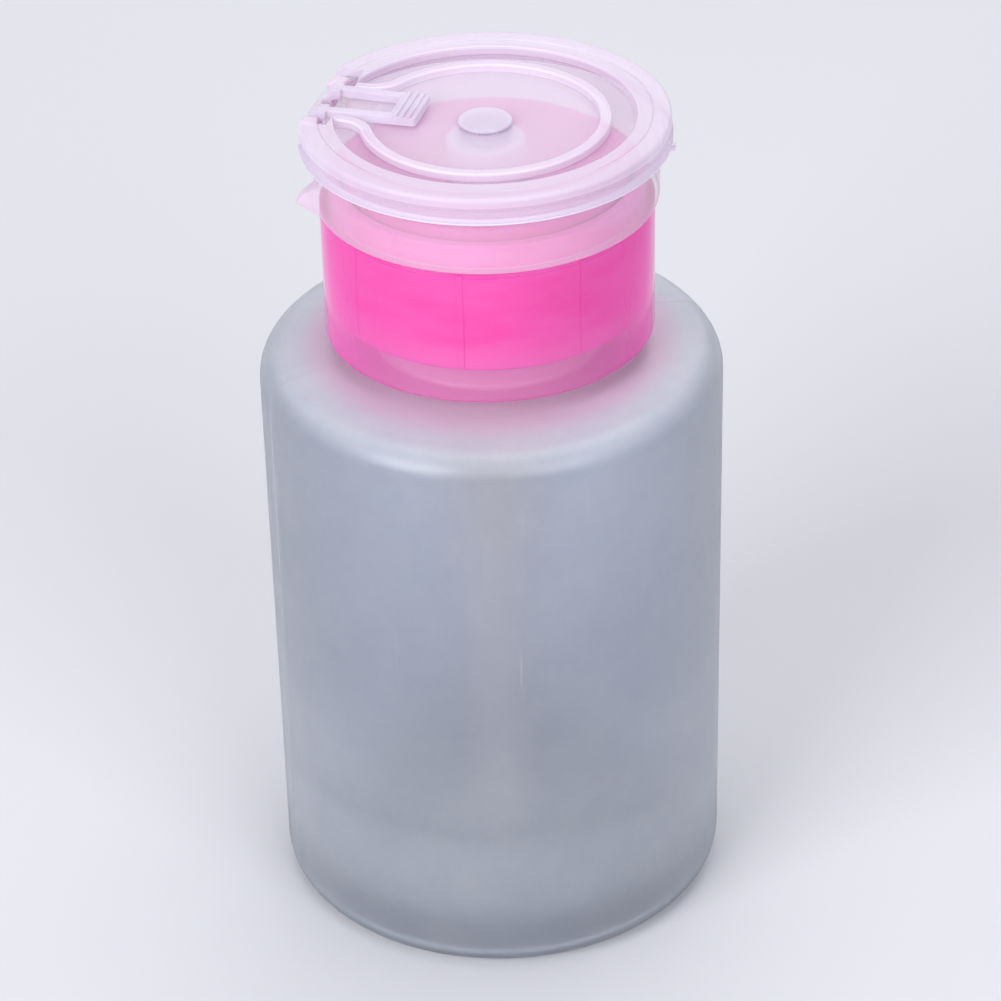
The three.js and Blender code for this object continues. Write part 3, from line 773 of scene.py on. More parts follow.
@dataclass(frozen=True)
class MouldedPlastic:
    """Moulded plastic, with clouds of colour a few millimetres across and the fine grain of the mould."""

    name: str
    colour: str
    cloud: str  # colour that the clouds turn to
    roughness: float
    opacity: float = 1.0
    zones: tuple[Zone, ...] = ()  # where a clear wall looks denser
    edge_on: float = 0.0  # opacity added where a clear wall is seen along its length
    passing: float = 0.0  # share of light that goes through
    thick: tuple[Zone, ...] = ()  # where the wall scatters a share of it
    scuffs: Scuffs | None = None
    seam: float | None = None  # angle of the parting plane, from +X
    seam_share: float = 0.22  # of light that the parting line scatters
    seam_half: float = 0.1  # half width of its middle
    seam_reach: float = 0.7  # distance at which it has faded out
    painted_light: str = ""  # colour of painted light, such as a neighbour's glow or light from below, laid on in its zones
    painted_light_zones: tuple[Zone, ...] = ()
    glow: float = 0.0  # share of light that wanders under the surface
    glow_depth: float = 1.0
    cloud_size: float = 9.0  # width of the thick and thin places in a real moulded wall
    cloud_squash: float = 1.0  # how much shorter the clouds are upright, as flow marks round a wall
    cloud_octaves: float = 3.0
    cloud_persistence: float = 0.5
    grain_size: float = 0.5  # a mould's grain is about 0.05, too fine to show, so it is drawn coarser
    grain_height: float = 0.004
    ior: float = 1.5

    def material(self) -> bpy.types.Material:
        """Build the material.

        Returns:
            The new material.
        """
        graph = Graph(self.name)
        place = graph.add("ShaderNodeTexCoord").outputs["Object"]
        squashed = graph.add("ShaderNodeMapping", {"Vector": place, "Scale": (1, 1, self.cloud_squash)})
        cloud = graph.add(
            "ShaderNodeTexNoise",
            {
                "Vector": squashed.outputs[0],
                "Scale": 1 / (self.cloud_size * MM),
                "Detail": self.cloud_octaves,
                "Roughness": self.cloud_persistence,
            },
        )
        colours = {0: cloud.outputs["Fac"], 6: linear(self.colour), 7: linear(self.cloud)}
        colour = graph.add("ShaderNodeMix", colours, data_type="RGBA")
        # Painted light: the colour is mixed towards the painted light's colour in its zones
        if self.painted_light_zones:
            share = highest(graph, place, self.painted_light_zones, 0.0)
            colours = {0: share, 6: colour.outputs[2], 7: linear(self.painted_light)}
            colour = graph.add("ShaderNodeMix", colours, data_type="RGBA")
        fine = {"Vector": place, "Scale": 1 / (self.grain_size * MM), "Detail": GRAIN_OCTAVES}
        grain = graph.add("ShaderNodeTexNoise", fine)
        bump = graph.add(
            "ShaderNodeBump",
            {
                "Height": grain.outputs["Fac"],
                "Strength": GRAIN_STRENGTH,
                "Distance": self.grain_height * MM,
            },
        )
        shader = graph.add(
            "ShaderNodeBsdfPrincipled",
            {
                "Base Color": colour.outputs[2],
                "Roughness": self.roughness,
                "IOR": self.ior,
                "Alpha": self._density(graph, place),
                "Transmission Weight": self._passing(graph, place),
                "Subsurface Weight": self.glow,
                "Subsurface Radius": (1.0, 1.0, 1.0),
                "Subsurface Scale": self.glow_depth * MM,
                "Normal": bump.outputs["Normal"],
            },
        )
        return graph.finish(shader)

    def _density(self, graph: Graph, place: bpy.types.NodeSocket) -> bpy.types.NodeSocket | float:
        """Add nodes for the opacity, which is higher where a clear wall is seen along its length.

        Args:
            graph: The material's graph.
            place: The place on the object, in metres.

        Returns:
            The socket that holds it, or one value for all places.
        """
        density = highest(graph, place, self.zones, self.opacity)
        if not self.edge_on:
            return density
        facing = graph.add("ShaderNodeLayerWeight", {"Blend": 0.5}).outputs["Facing"]
        steep = graph.add("ShaderNodeMath", {0: facing, 1: EDGE_POWER}, operation="POWER").outputs[0]
        added = {0: steep, 1: self.edge_on, 2: density}
        return graph.add("ShaderNodeMath", added, operation="MULTIPLY_ADD", use_clamp=True).outputs[0]

    def _passing(self, graph: Graph, place: bpy.types.NodeSocket) -> bpy.types.NodeSocket | float:
        """Add nodes for the share of light that goes through.

        Args:
            graph: The material's graph.
            place: The place on the object, in metres.

        Returns:
            The socket that holds it, or one value for all places.
        """
        if not self.thick:
            return self.passing
        scattered = highest(graph, place, self.thick, 0.0)
        marks: list[bpy.types.NodeSocket] = []
        if self.scuffs:
            marks.append(self.scuffs.share(graph, place))
        if self.seam is not None:
            marks.append(self._parting_line(graph, place))
        for mark in marks:
            scattered = graph.add("ShaderNodeMath", {0: scattered, 1: mark}, operation="MAXIMUM").outputs[0]
        left = graph.add("ShaderNodeMath", {0: 1.0, 1: scattered}, operation="SUBTRACT").outputs[0]
        return graph.add("ShaderNodeMath", {0: left, 1: self.passing}, operation="MULTIPLY").outputs[0]

    def _parting_line(self, graph: Graph, place: bpy.types.NodeSocket) -> bpy.types.NodeSocket:
        """Add nodes for the thicker wall where the mould's halves met.

        Args:
            graph: The material's graph.
            place: The place on the object, in metres.

        Returns:
            The socket that holds the share of light that it scatters.
        """
        back = {"Vector": place, "Rotation": (0, 0, math.radians(-self.seam))}
        turned_back = graph.add("ShaderNodeMapping", back)
        axes = graph.add("ShaderNodeSeparateXYZ", {0: turned_back.outputs[0]})
        off = graph.add("ShaderNodeMath", {0: axes.outputs[1]}, operation="ABSOLUTE")
        return graph.add(
            "ShaderNodeMapRange",
            {
                "Value": off.outputs[0],
                "From Min": self.seam_half * MM,
                "From Max": self.seam_reach * MM,
                "To Min": self.seam_share,
                "To Max": 0.0,
            },
        ).outputs[0]


@dataclass(frozen=True)
class Steel:
    """Stainless steel, drawn to wire or ground to balls, with a satin sheen that varies a little.

    Its real grain is a few hundredths of a millimetre and is drawn coarser, so that it shows.
    """

    name: str = "stainless_steel"
    colour: str = "C9C8C6"
    grain_size: float = 0.4
    smoothest: float = 0.2  # least and greatest roughness
    roughest: float = 0.34

    def material(self) -> bpy.types.Material:
        """Build the material.

        Returns:
            The new material.
        """
        graph = Graph(self.name)
        place = graph.add("ShaderNodeTexCoord").outputs["Object"]
        fine = {"Vector": place, "Scale": 1 / (self.grain_size * MM), "Detail": GRAIN_OCTAVES}
        grain = graph.add("ShaderNodeTexNoise", fine)
        spread = graph.add(
            "ShaderNodeMapRange",
            {"Value": grain.outputs["Fac"], "To Min": self.smoothest, "To Max": self.roughest},
        )
        shader = graph.add(
            "ShaderNodeBsdfPrincipled",
            {"Base Color": linear(self.colour), "Metallic": 1.0, "Roughness": spread.outputs[0]},
        )
        return graph.finish(shader)


# Undyed polyethylene, blow moulded in a blasted mould. It is milky and matt and lets soft light through.
# The wall's uneven thickness shows as clouds, and the shoulder, neck and foot are thicker and whiter. The
# shoulder has a painted pink glow, the closure's light painted on below it.
FROSTED = MouldedPlastic(
    "frosted_polyethylene",
    "CFD7E6",
    "F2F5FA",
    0.34,
    passing=0.9,
    cloud_octaves=6.0,
    cloud_persistence=0.8,
    thick=(
        Zone(0.0, BEYOND, 82.0, 130.0, 0.68, 5.0),  # shoulder and neck
        Zone(0.0, BEYOND, 14.0, 18.0, 0.17, 11.0),  # foot
        Zone(0.0, BEYOND, 20.0, 24.0, 0.12, 24.0),  # lower half, fading out
    ),
    scuffs=Scuffs(),
    seam=PARTING_ANGLE,
    # painted light: the pink glow of the closure, painted on the shoulder below it
    painted_light="F4C0E2",
    painted_light_zones=(Zone(0.0, 21.0, 80.0, 100.0, 0.65, 5.0),),
)

# Undyed polypropylene, injection moulded thin in a polished mould. It is clear with a faint haze, and its
# steps, ribs and edges are bright lines, because there the light runs along inside the wall.
LID = MouldedPlastic(
    "lid_polypropylene",
    "EEDFF1",
    "E9DEF1",
    0.36,
    opacity=0.25,
    zones=(
        Zone(0.0, 14.5, 110.2, 111.3, 0.4, 0.3),  # panel inside the rib
        Zone(18.65, 24.0, 111.6, 113.0, 0.5, 0.2),  # rim
        Zone(21.9, 24.0, 108.0, 112.0, 0.32, 0.2),  # skirt
        Zone(22.0, 24.0, 109.0, 109.5, 0.95, 0.12),  # the skirt's lower edge
        Zone(18.65, 19.35, 112.3, 112.66, 0.7, 0.04),  # the rim's inner edge
        Zone(22.6, 24.0, 112.3, 112.75, 0.55, 0.04),  # the rim's outer edge
        Zone(13.5, 18.8, 111.3, 112.5, 0.6, 0.1),  # keyhole rib
        Zone(13.5, 18.8, 112.03, 112.28, 0.8, 0.03),  # the rib's upper edges
    ),
    edge_on=0.4,
)

# The same polypropylene as the lid's, painted warmer with the pink light of the closure behind it.
BAND = MouldedPlastic(
    "band_polypropylene",
    "F0DCEE",
    "EEDCF0",
    0.33,
    opacity=0.24,
    zones=(
        Zone(20.0, 22.0, 101.6, 101.8, 0.38, 0.25),  # lower rim
        Zone(21.5, 22.0, 101.6, 101.8, 0.7, 0.15),  # the rim's outer edge
        Zone(21.9, 26.0, 100.0, 112.0, 0.6, 0.1),  # finger tab and hinge bracket
        Zone(20.5, 24.0, 111.3, 113.0, 0.65, 0.1),  # ears beside the hinge
    ),
    edge_on=0.3,
)

# The same polypropylene in thicker walls, which look milkier: the strap and the stopper.
PALE = MouldedPlastic(
    "pale_polypropylene", "E9DDEF", "E5DBEF", 0.38, opacity=0.56, edge_on=0.5
)

# White polypropylene, injection moulded with a satin surface.
NOZZLE = MouldedPlastic("nozzle_polypropylene", "FCF4FC", "F8F0FC", 0.3)

# Undyed polypropylene of the pump's thick inner pieces, milky; its faint warm tint is painted pink light.
INNER = MouldedPlastic("natural_polypropylene", "FFEEE6", "FCE8E0", 0.35)

# Polypropylene dyed a strong pink, injection moulded. Light wanders under its surface and softens the
# shading, flow marks run round its wall, and its lower edge is painted paler, as painted light that comes
# in from below.
PINK = MouldedPlastic(
    "dyed_polypropylene",
    "F42EA8",
    "F888DC",
    0.35,
    glow=0.3,
    glow_depth=1.5,
    cloud_squash=4.0,
    # painted light: the lower edge painted paler, for the light that comes in from below
    painted_light="F6A0DA",
    painted_light_zones=(Zone(19.0, 21.0, 86.0, 88.0, 0.65, 4.5),),
)

# Clear polystyrene with a pink tint, injection moulded in a polished mould. It is glossy and hardly seen
# from the front, and a deep pink line where its wall turns away.
TINTED = MouldedPlastic(
    "tinted_polystyrene",
    "F24CB6",
    "F656BE",
    0.08,
    opacity=0.2,
    zones=(Zone(20.0, 22.0, 83.0, 83.5, 0.3, 0.15),),  # lower edge
    edge_on=1.6,
    ior=1.57,
)

# Soft foamed polyethylene, cut or moulded for sealing, grey-white and quite matt.
SEAL = MouldedPlastic("foamed_polyethylene", "DADADC", "E4E4E6", 0.8)

STEEL = Steel()


class Dresser:
    """Gives pieces their finish and body."""

    def __init__(self) -> None:
        """Start with no materials."""
        self.materials: dict[str, bpy.types.Material] = {}
        self.count = 0

    def dress(
        self, piece: bpy.types.Object, finish: MouldedPlastic | Steel, body: Body, node: str
    ) -> None:
        """Dress a piece and put it on its body.

        Args:
            piece: The piece.
            finish: Its finish.
            body: The body that it rides on.
            node: The CAD node that it stands for.
        """
        if finish.name not in self.materials:
            self.materials[finish.name] = finish.material()
        piece.data.materials.clear()
        piece.data.materials.append(self.materials[finish.name])
        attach(piece, body.value)
        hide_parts(node)
        self.count += 1
        LOG.info("%s: %d faces, on %s", piece.name, len(piece.data.polygons), body.value)


# Sub-assemblies


@dataclass(frozen=True)
class Bottle:
    """The blow-moulded bottle with its neck, thread and parting line."""

    radius: float = 30.0
    wall: float = 1.2
    heel: float = 3.4
    ring: float = 4.4  # flat ring that it stands on
    push_up: float = 1.6
    push_run: float = 1.8
    shoulder: float = 79.7
    shoulder_round: float = 3.9
    neck_foot: float = 81.6
    neck: float = 14.85
    bore: float = 13.4
    mouth: float = 94.0
    corner_steps: int = 10
    thread: Thread = Thread()
    thread_low: float = 87.6
    thread_depth: float = 1.1
    thread_turns: float = 1.5
    seam_height: float = 0.03
    seam_width: float = 0.7
    seam_crest: float = 0.15  # width of its crest, as a share of its foot
    seam_start: int = 4  # points of the foot that it leaves out, so that it stays off the ground

    def build(self, dresser: Dresser) -> None:
        """Build and dress the bottle.

        Args:
            dresser: Dresses the piece.
        """
        wall = self.wall
        ring_outer = self.radius - self.heel
        ring_inner = ring_outer - self.ring
        raised_radius = ring_inner - self.push_run
        outer = [
            (raised_radius, self.push_up, 1.2),
            (ring_inner, 0, 0.8),
            (self.radius, 0, self.heel),
            (self.radius, self.shoulder, self.shoulder_round),
            (self.neck, self.neck_foot, 0.8),
        ]
        outline = [
            (0, self.push_up),
            *outer,
            (self.neck, self.mouth, 0.5),
            (self.bore, self.mouth, 0.3),
            (self.bore, self.neck_foot - wall, 0.5),
            (self.radius - wall, self.shoulder - wall, self.shoulder_round - wall),
            (self.radius - wall, wall, self.heel - wall),
            (ring_inner, wall, 0.6),
            (raised_radius, self.push_up + wall, 0.8),
            (0, self.push_up + wall),
        ]
        piece = turned("frosted_body", outline, FINE_STEPS, self.corner_steps)
        crest = self.neck + self.thread_depth
        ridge = self.thread.ridge("ridge", self.neck, crest, self.thread_low, self.thread_turns)
        combine(piece, ridge, Join.ADD)
        for turn in (0, 180):
            combine(piece, self._seam(outer, turn), Join.ADD)
        dresser.dress(piece, FROSTED, Body.BOTTLE, "bottle")

    def _seam(self, outer: Outline, turn: float) -> bpy.types.Object:
        """Make the fine ridge where the two halves of the mould met.

        Args:
            outer: The bottle's outside, from its base to the neck's foot.
            turn: Degrees from the first of the two ridges.

        Returns:
            The ridge on one side of the bottle.
        """
        route = rounded([*outer[1:], (self.neck, self.mouth)], self.corner_steps, closed=False)
        route = route[self.seam_start : -1]
        near: list[Vector] = []
        far: list[Vector] = []
        for i, here in enumerate(route):
            back = route[max(i - 1, 0)]
            ahead = route[min(i + 1, len(route) - 1)]
            along = (ahead - back).normalized()
            out = Vector((along.y, -along.x)) * self.seam_height
            far.append(here + out)
            near.append(here - out)
        half = self.seam_width / 2
        seam = sideways("seam", [*far, *reversed(near)], -half, half)
        crest = {tuple(round(c, 4) for c in p) for p in far}
        places = [(vertex.co.x / MM, vertex.co.z / MM) for vertex in seam.data.vertices]
        pick_vertices(seam, [tuple(round(c, 4) for c in place) in crest for place in places])
        bpy.ops.transform.resize(value=(1, self.seam_crest, 1), center_override=(0, 0, 0))
        leave()
        return spun(seam, PARTING_ANGLE + turn)


@dataclass(frozen=True)
class Pump:
    """The pump inside the neck: barrel, dip tube, valves, spring, piston and stem."""

    neck_bore: float = 13.4
    flange: float = 15.55
    gasket_bottom: float = 94.3
    gasket_top: float = 95.1
    flange_bottom: float = 95.4
    flange_top: float = 96.4
    barrel_bore: float = 6.0
    barrel: float = 7.2
    barrel_foot: float = 63.0
    ledge: float = 64.2
    guide_seat: float = 7.6
    guide_seat_depth: float = 1.2
    seat_bottom: float = 57.9
    seat_hole: float = 1.3
    seat_land: float = 1.0
    chamber: float = 3.2
    socket: float = 4.3
    socket_bottom: float = 48.4
    socket_top: float = 58.4
    tube: float = 2.6
    tube_bore: float = 1.8
    tube_bottom: float = 5.0
    tube_top: float = 56.6
    retainer_bottom: float = 64.5
    retainer_top: float = 66.3
    retainer_hole: float = 1.2
    retainer_slot: float = 1.0
    retainer_reach: float = 3.99
    spring_radius: float = 4.2
    wire: float = 0.4
    wire_steps: int = 12
    spring_turns: int = 6
    spring_steps: int = 32  # in each turn
    spring_low: float = 67.0
    spring_high: float = 78.3
    press_travel: float = 4.5
    stem_bottom: float = 79.0
    stem_top: float = 103.4
    stem_bore: float = 1.4
    stem_flange: float = 4.4
    stem_flange_height: float = 1.0
    seal_bottom: float = 80.3
    seal_top: float = 87.0
    seal_waist: float = 5.0
    lip_hollow: float = 1.0  # depth of the hollow behind each lip, and width of the lip's foot
    lip_edge: float = 1.1  # height of the part of a lip that rubs on the barrel
    lip_height: float = 2.2
    guide_bottom: float = 87.3
    guide_wall: float = 1.2
    guide_bush: float = 3.0
    inlet_ball: float = 2.0

    def build(self, dresser: Dresser) -> None:
        """Build and dress the pump's pieces.

        Args:
            dresser: Dresses the pieces.
        """
        self._still(dresser)
        self._valves(dresser)
        self._spring(dresser)
        self._moving(dresser)

    def _still(self, dresser: Dresser) -> None:
        """Make what stays in the neck: gasket, barrel, dip tube and guide.

        Args:
            dresser: Dresses the pieces.
        """
        gasket = ring(self.neck_bore, self.flange, self.gasket_bottom, self.gasket_top, 0.15, 0.15)
        dresser.dress(turned("sealing_ring", gasket), SEAL, Body.PUMP, "neck_gasket")
        inner = self.tube + CLEARANCE
        seat_floor = self.seat_bottom - self.seat_land
        guide_floor = self.flange_top - self.guide_seat_depth
        barrel = [
            (inner, self.socket_bottom, 0.2),
            (self.socket, self.socket_bottom, 0.3),
            (self.socket, self.socket_top, 0.6),
            (self.barrel, self.barrel_foot, 0.6),
            (self.barrel, self.flange_bottom, 0.4),
            (self.flange, self.flange_bottom, 0.2),
            (self.flange, self.flange_top, 0.2),
            (self.guide_seat, self.flange_top, 0.1),
            (self.guide_seat, guide_floor),
            (self.barrel_bore, guide_floor, 0.1),
            (self.barrel_bore, self.ledge, 0.2),
            (self.chamber, self.ledge, 0.2),
            (self.chamber, self.seat_bottom + self.chamber - self.seat_hole, 0.3),
            (self.seat_hole, self.seat_bottom, 0.1),
            (self.seat_hole, seat_floor, 0.1),
            (inner, seat_floor),
        ]
        dresser.dress(turned("pump_barrel", barrel), INNER, Body.PUMP, "pump_cylinder")
        tube = ring(self.tube_bore, self.tube, self.tube_bottom, self.tube_top, 0.1, 0.1)
        piece = turned("suction_tube", tube, SMALL_STEPS)
        dresser.dress(piece, INNER, Body.PUMP, "dip_tube")
        body = self.barrel_bore - CLEARANCE
        flange, flange_bottom = self.guide_seat - CLEARANCE, guide_floor + CLEARANCE
        bush_bottom = self.flange_top - self.guide_bush
        guide = [
            (body - self.guide_wall, self.guide_bottom, 0.2),
            (body, self.guide_bottom, 0.3),
            (body, flange_bottom),
            (flange, flange_bottom, 0.1),
            (flange, self.flange_top, 0.2),
            (inner, self.flange_top, 0.3),
            (inner, bush_bottom, 0.1),
            (body - self.guide_wall, bush_bottom, 0.2),
        ]
        dresser.dress(turned("guide_bush", guide), INNER, Body.PUMP, "stem_guide")

    def _valves(self, dresser: Dresser) -> None:
        """Make the slotted retainer and the inlet ball.

        Args:
            dresser: Dresses the pieces.
        """
        radius = self.barrel_bore - CLEARANCE
        disc = ring(self.retainer_hole, radius, self.retainer_bottom, self.retainer_top, 0.2, 0.2)
        piece = turned("ball_stop", disc, SMALL_STEPS)
        half = self.retainer_slot / 2
        low = (-self.retainer_reach, -half, self.retainer_bottom - OVERRUN)
        high = (self.retainer_reach, half, self.retainer_top + OVERRUN)
        for turn in (0, 90):
            combine(piece, spun(block("slot", low, high), turn), Join.CUT)
        dresser.dress(piece, INNER, Body.PUMP, "ball_retainer")
        height = self.seat_bottom - self.seat_hole + (self.inlet_ball + CLEARANCE) * math.sqrt(2)
        piece = ball("lower_ball", self.inlet_ball, height)
        dresser.dress(piece, STEEL, Body.INLET, "inlet_ball")

    def _spring(self, dresser: Dresser) -> None:
        """Wind the return spring, which shortens as the dish goes down.

        Args:
            dresser: Dresses the piece.
        """
        circle = arc((self.spring_radius, self.spring_low), self.wire, 0, 360, self.wire_steps)[:-1]
        piece = drawn("spring_coil", [Vector((p.x, 0, p.y)) for p in circle])
        leave()
        length = self.spring_high - self.spring_low
        wind(piece, self.spring_turns, length / self.spring_turns, self.spring_steps)
        dresser.dress(piece, STEEL, Body.PUMP, "return_spring")
        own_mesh(piece)

    def _moving(self, dresser: Dresser) -> None:
        """Make the stem and the piston's seal, which go down with the dish.

        Args:
            dresser: Dresses the pieces.
        """
        flange_top = self.stem_bottom + self.stem_flange_height
        stem = [
            (self.stem_bore, self.stem_bottom, 0.1),
            (self.stem_flange, self.stem_bottom, 0.2),
            (self.stem_flange, flange_top, 0.2),
            (self.tube, flange_top, 0.1),
            (self.tube, self.stem_top, 0.2),
            (self.stem_bore, self.stem_top, 0.1),
        ]
        piece = turned("hollow_stem", stem, SMALL_STEPS)
        dresser.dress(piece, INNER, Body.PLUNGER, "piston_stem")
        lip = self.barrel_bore - CLEARANCE
        inner, waist, hollow = self.tube + CLEARANCE, self.seal_waist, self.lip_hollow
        low, high = self.seal_bottom, self.seal_top
        seal = [
            (inner, low + hollow, 0.1),
            (waist - hollow, low + hollow, 0.2),
            (lip, low, 0.1),
            (lip, low + self.lip_edge, 0.3),
            (waist, low + self.lip_height, 0.5),
            (waist, high - self.lip_height, 0.5),
            (lip, high - self.lip_edge, 0.3),
            (lip, high, 0.1),
            (waist - hollow, high - hollow, 0.2),
            (inner, high - hollow, 0.1),
        ]
        piece = turned("piston_lips", seal, SMALL_STEPS)
        dresser.dress(piece, SEAL, Body.PLUNGER, "piston_seal")


@dataclass(frozen=True)
class Closure:
    """The dyed screw closure and the clear tinted sleeve round it."""

    bottom: float = 87.3
    thread_bore: float = 16.25
    thread_wall: float = 17.55
    room: float = 18.6
    outer: float = 20.25
    web: float = 94.7
    plate_bottom: float = 96.7
    plate_top: float = 97.7
    plate_hole: float = 5.0
    collar_bottom: float = 100.2
    collar: float = 20.0
    collar_inner: float = 18.4
    collar_top: float = 104.6
    thread: Thread = Thread()
    thread_crest: float = 15.15
    thread_low: float = 88.5
    thread_start: float = 281.25  # degrees from +X
    thread_turns: float = 1.1
    rib_count: int = 8
    rib_width: float = 0.8
    rib_phase: float = 6.0
    rib_bottom: float = 87.9
    rib: float = 20.42
    sleeve_inner: float = 20.7
    sleeve: float = 21.17
    sleeve_bottom: float = 83.3
    sleeve_top: float = 101.4

    def build(self, dresser: Dresser) -> None:
        """Build and dress the closure and its sleeve.

        Args:
            dresser: Dresses the pieces.
        """
        outline = [
            (self.plate_hole, self.plate_bottom, 0.2),
            (self.thread_bore, self.plate_bottom, 0.3),
            (self.thread_bore, self.bottom, 0.3),
            (self.thread_wall, self.bottom, 0.3),
            (self.thread_wall, self.web, 0.2),
            (self.room, self.web, 0.2),
            (self.room, self.bottom, 0.2),
            (self.outer, self.bottom, 0.35),
            (self.outer, self.collar_bottom, 0.1),
            (self.collar, self.collar_bottom, 0.15),
            (self.collar, self.collar_top, 0.35),
            (self.collar_inner, self.collar_top, 0.35),
            (self.collar_inner, self.plate_top, 0.3),
            (self.plate_hole, self.plate_top, 0.2),
        ]
        piece = turned("screw_closure", outline, FINE_STEPS)
        low = (self.outer - SINK, -self.rib_width / 2, self.rib_bottom)
        high = (self.rib, self.rib_width / 2, self.collar_bottom + SINK)
        for i in range(self.rib_count):
            rib = block("rib", low, high, edge=0.04)
            combine(piece, spun(rib, self.rib_phase + i * 360 / self.rib_count), Join.ADD)
        ridge = self.thread.ridge(
            "ridge", self.thread_bore, self.thread_crest, self.thread_low, self.thread_turns
        )
        combine(piece, spun(ridge, self.thread_start), Join.ADD)
        dresser.dress(piece, PINK, Body.CLOSURE, "screw_cap")
        tube = ring(self.sleeve_inner, self.sleeve, self.sleeve_bottom, self.sleeve_top, 0.12, 0.25)
        piece = turned("tinted_sleeve", tube, FINE_STEPS)
        dresser.dress(piece, TINTED, Body.CLOSURE, "outer_sleeve")


@dataclass(frozen=True)
class Hinge:
    """Where the lid turns: the pin's axis along Y and what surrounds it."""

    x: float = -21.9
    z: float = 109.95
    pin: float = 0.4
    bore: float = 0.7
    knuckle: float = 1.15
    near: float = 1.9
    far: float = 4.3
    window: float = 7.8  # half width of the room for the hinge in the lid

    def bar(self, name: str, radius: float, half: float, edge: float = 0.0) -> bpy.types.Object:
        """Make a round bar on the hinge's axis."""
        return rod(name, (self.x, self.z), radius, half, edge)


@dataclass(frozen=True)
class Band:
    """The clear band over the closure, with its finger tab and hinge bracket."""

    hinge: Hinge = Hinge()
    inner: float = 20.3
    outer: float = 21.75
    bottom: float = 101.7
    top: float = 111.2
    step: float = 108.9  # the wall is thinner above this height
    step_outer: float = 21.6
    slot_floor: float = 108.5
    slot_half: float = 4.6
    ear_inner: float = 20.9  # low walls that close the hinge's room beside the knuckles
    ear_outer: float = 22.9
    ear_bottom: float = 108.9
    ear_top: float = 112.0
    ear_angles: tuple[float, float] = (12.5, 19.1)  # either side of -X
    ear_steps: int = 6
    bracket_half: float = 1.6
    bracket_foot: float = 105.4
    bracket_steps: int = 24
    tab_angle: float = 210.0
    tab_half_angle: float = 3.2
    # reach beyond the band, height above its lower edge, share of the width
    tab_levels: tuple[tuple[float, float, float], ...] = (
        (-0.4, 4.5, 1.0),
        (1.75, 3.4, 0.55),
        (2.75, 2.2, 0.3),
        (-0.4, 2.2, 1.0),
        (-0.4, 0.0, 1.4),
    )

    def build(self, dresser: Dresser) -> None:
        """Build and dress the band and the hinge pin.

        Args:
            dresser: Dresses the pieces.
        """
        outline = [
            (self.inner, self.bottom, 0.2),
            (self.outer, self.bottom, 0.35),
            (self.outer, self.step, 0.1),
            (self.step_outer, self.step),
            (self.step_outer, self.top, 0.3),
            (self.inner, self.top, 0.3),
        ]
        piece = turned("clear_band", outline, FINE_STEPS)
        combine(piece, self._gap(), Join.CUT)
        for side in (-1, 1):
            combine(piece, self._ear(side), Join.ADD)
        combine(piece, self._bracket(), Join.ADD)
        combine(piece, self.hinge.bar("bore", self.hinge.bore, self.bracket_half + OVERRUN), Join.CUT)
        combine(piece, self._tab(), Join.ADD)
        dresser.dress(piece, BAND, Body.CLOSURE, "flip_band")
        piece = self.hinge.bar("pin", self.hinge.pin, self.hinge.far, edge=0.1)
        dresser.dress(piece, STEEL, Body.CLOSURE, "hinge_pin")

    def _gap(self) -> bpy.types.Object:
        """Make the cutter for the gap in the band's top that the hinge swings in.

        Returns:
            The cutter.
        """
        half, top = self.slot_half, self.top + OVERRUN
        foot = [(-half, self.slot_floor, 0.8), (half, self.slot_floor, 0.8)]
        start = -(self.outer + OVERRUN)
        base = [Vector((start, p.x, p.y)) for p in rounded([*foot, (half, top), (-half, top)])]
        return pushed("gap", base, (2 * OVERRUN + self.outer - self.inner, 0, 0))

    def _ear(self, side: int) -> bpy.types.Object:
        """Make the low curved wall on one side of the hinge.

        Args:
            side: Its side along Y, -1 or 1.

        Returns:
            The wall.
        """
        near, far = (180 - side * angle for angle in self.ear_angles)
        plan = [
            *arc((0, 0), self.ear_outer, near, far, self.ear_steps),
            *arc((0, 0), self.ear_inner, far, near, self.ear_steps),
        ]
        return raised("ear", plan, self.ear_bottom, self.ear_top, edge=0.3)

    def _bracket(self) -> bpy.types.Object:
        """Make the eye that stands on the band between the strap's knuckles.

        Returns:
            The eye, without its bore.
        """
        hinge = self.hinge
        inner, outer = -(self.inner + CLEARANCE), hinge.x - hinge.knuckle
        side = [
            Vector((inner, self.bracket_foot)),
            Vector((-self.outer, self.bracket_foot)),
            Vector((outer, hinge.z - hinge.knuckle)),
            *arc((hinge.x, hinge.z), hinge.knuckle, 180, 0, self.bracket_steps),
            Vector((inner, hinge.z - hinge.knuckle)),
        ]
        return softened(sideways("bracket", side, -self.bracket_half, self.bracket_half), width=0.12)

    def _tab(self) -> bpy.types.Object:
        """Make the faceted finger tab, widest at its foot.

        Returns:
            The tab.
        """
        spots: list[Vector] = []
        for reach, height, share in self.tab_levels:
            for side in (-1, 1):
                angle = self.tab_angle + side * self.tab_half_angle * share
                spots.append(polar(self.outer + reach, angle, self.bottom + height))
        tab = drawn("tab", spots, closed=False)
        bpy.ops.mesh.convex_hull()
        leave_outwards()
        return softened(tab, width=0.15, angle=20.0)


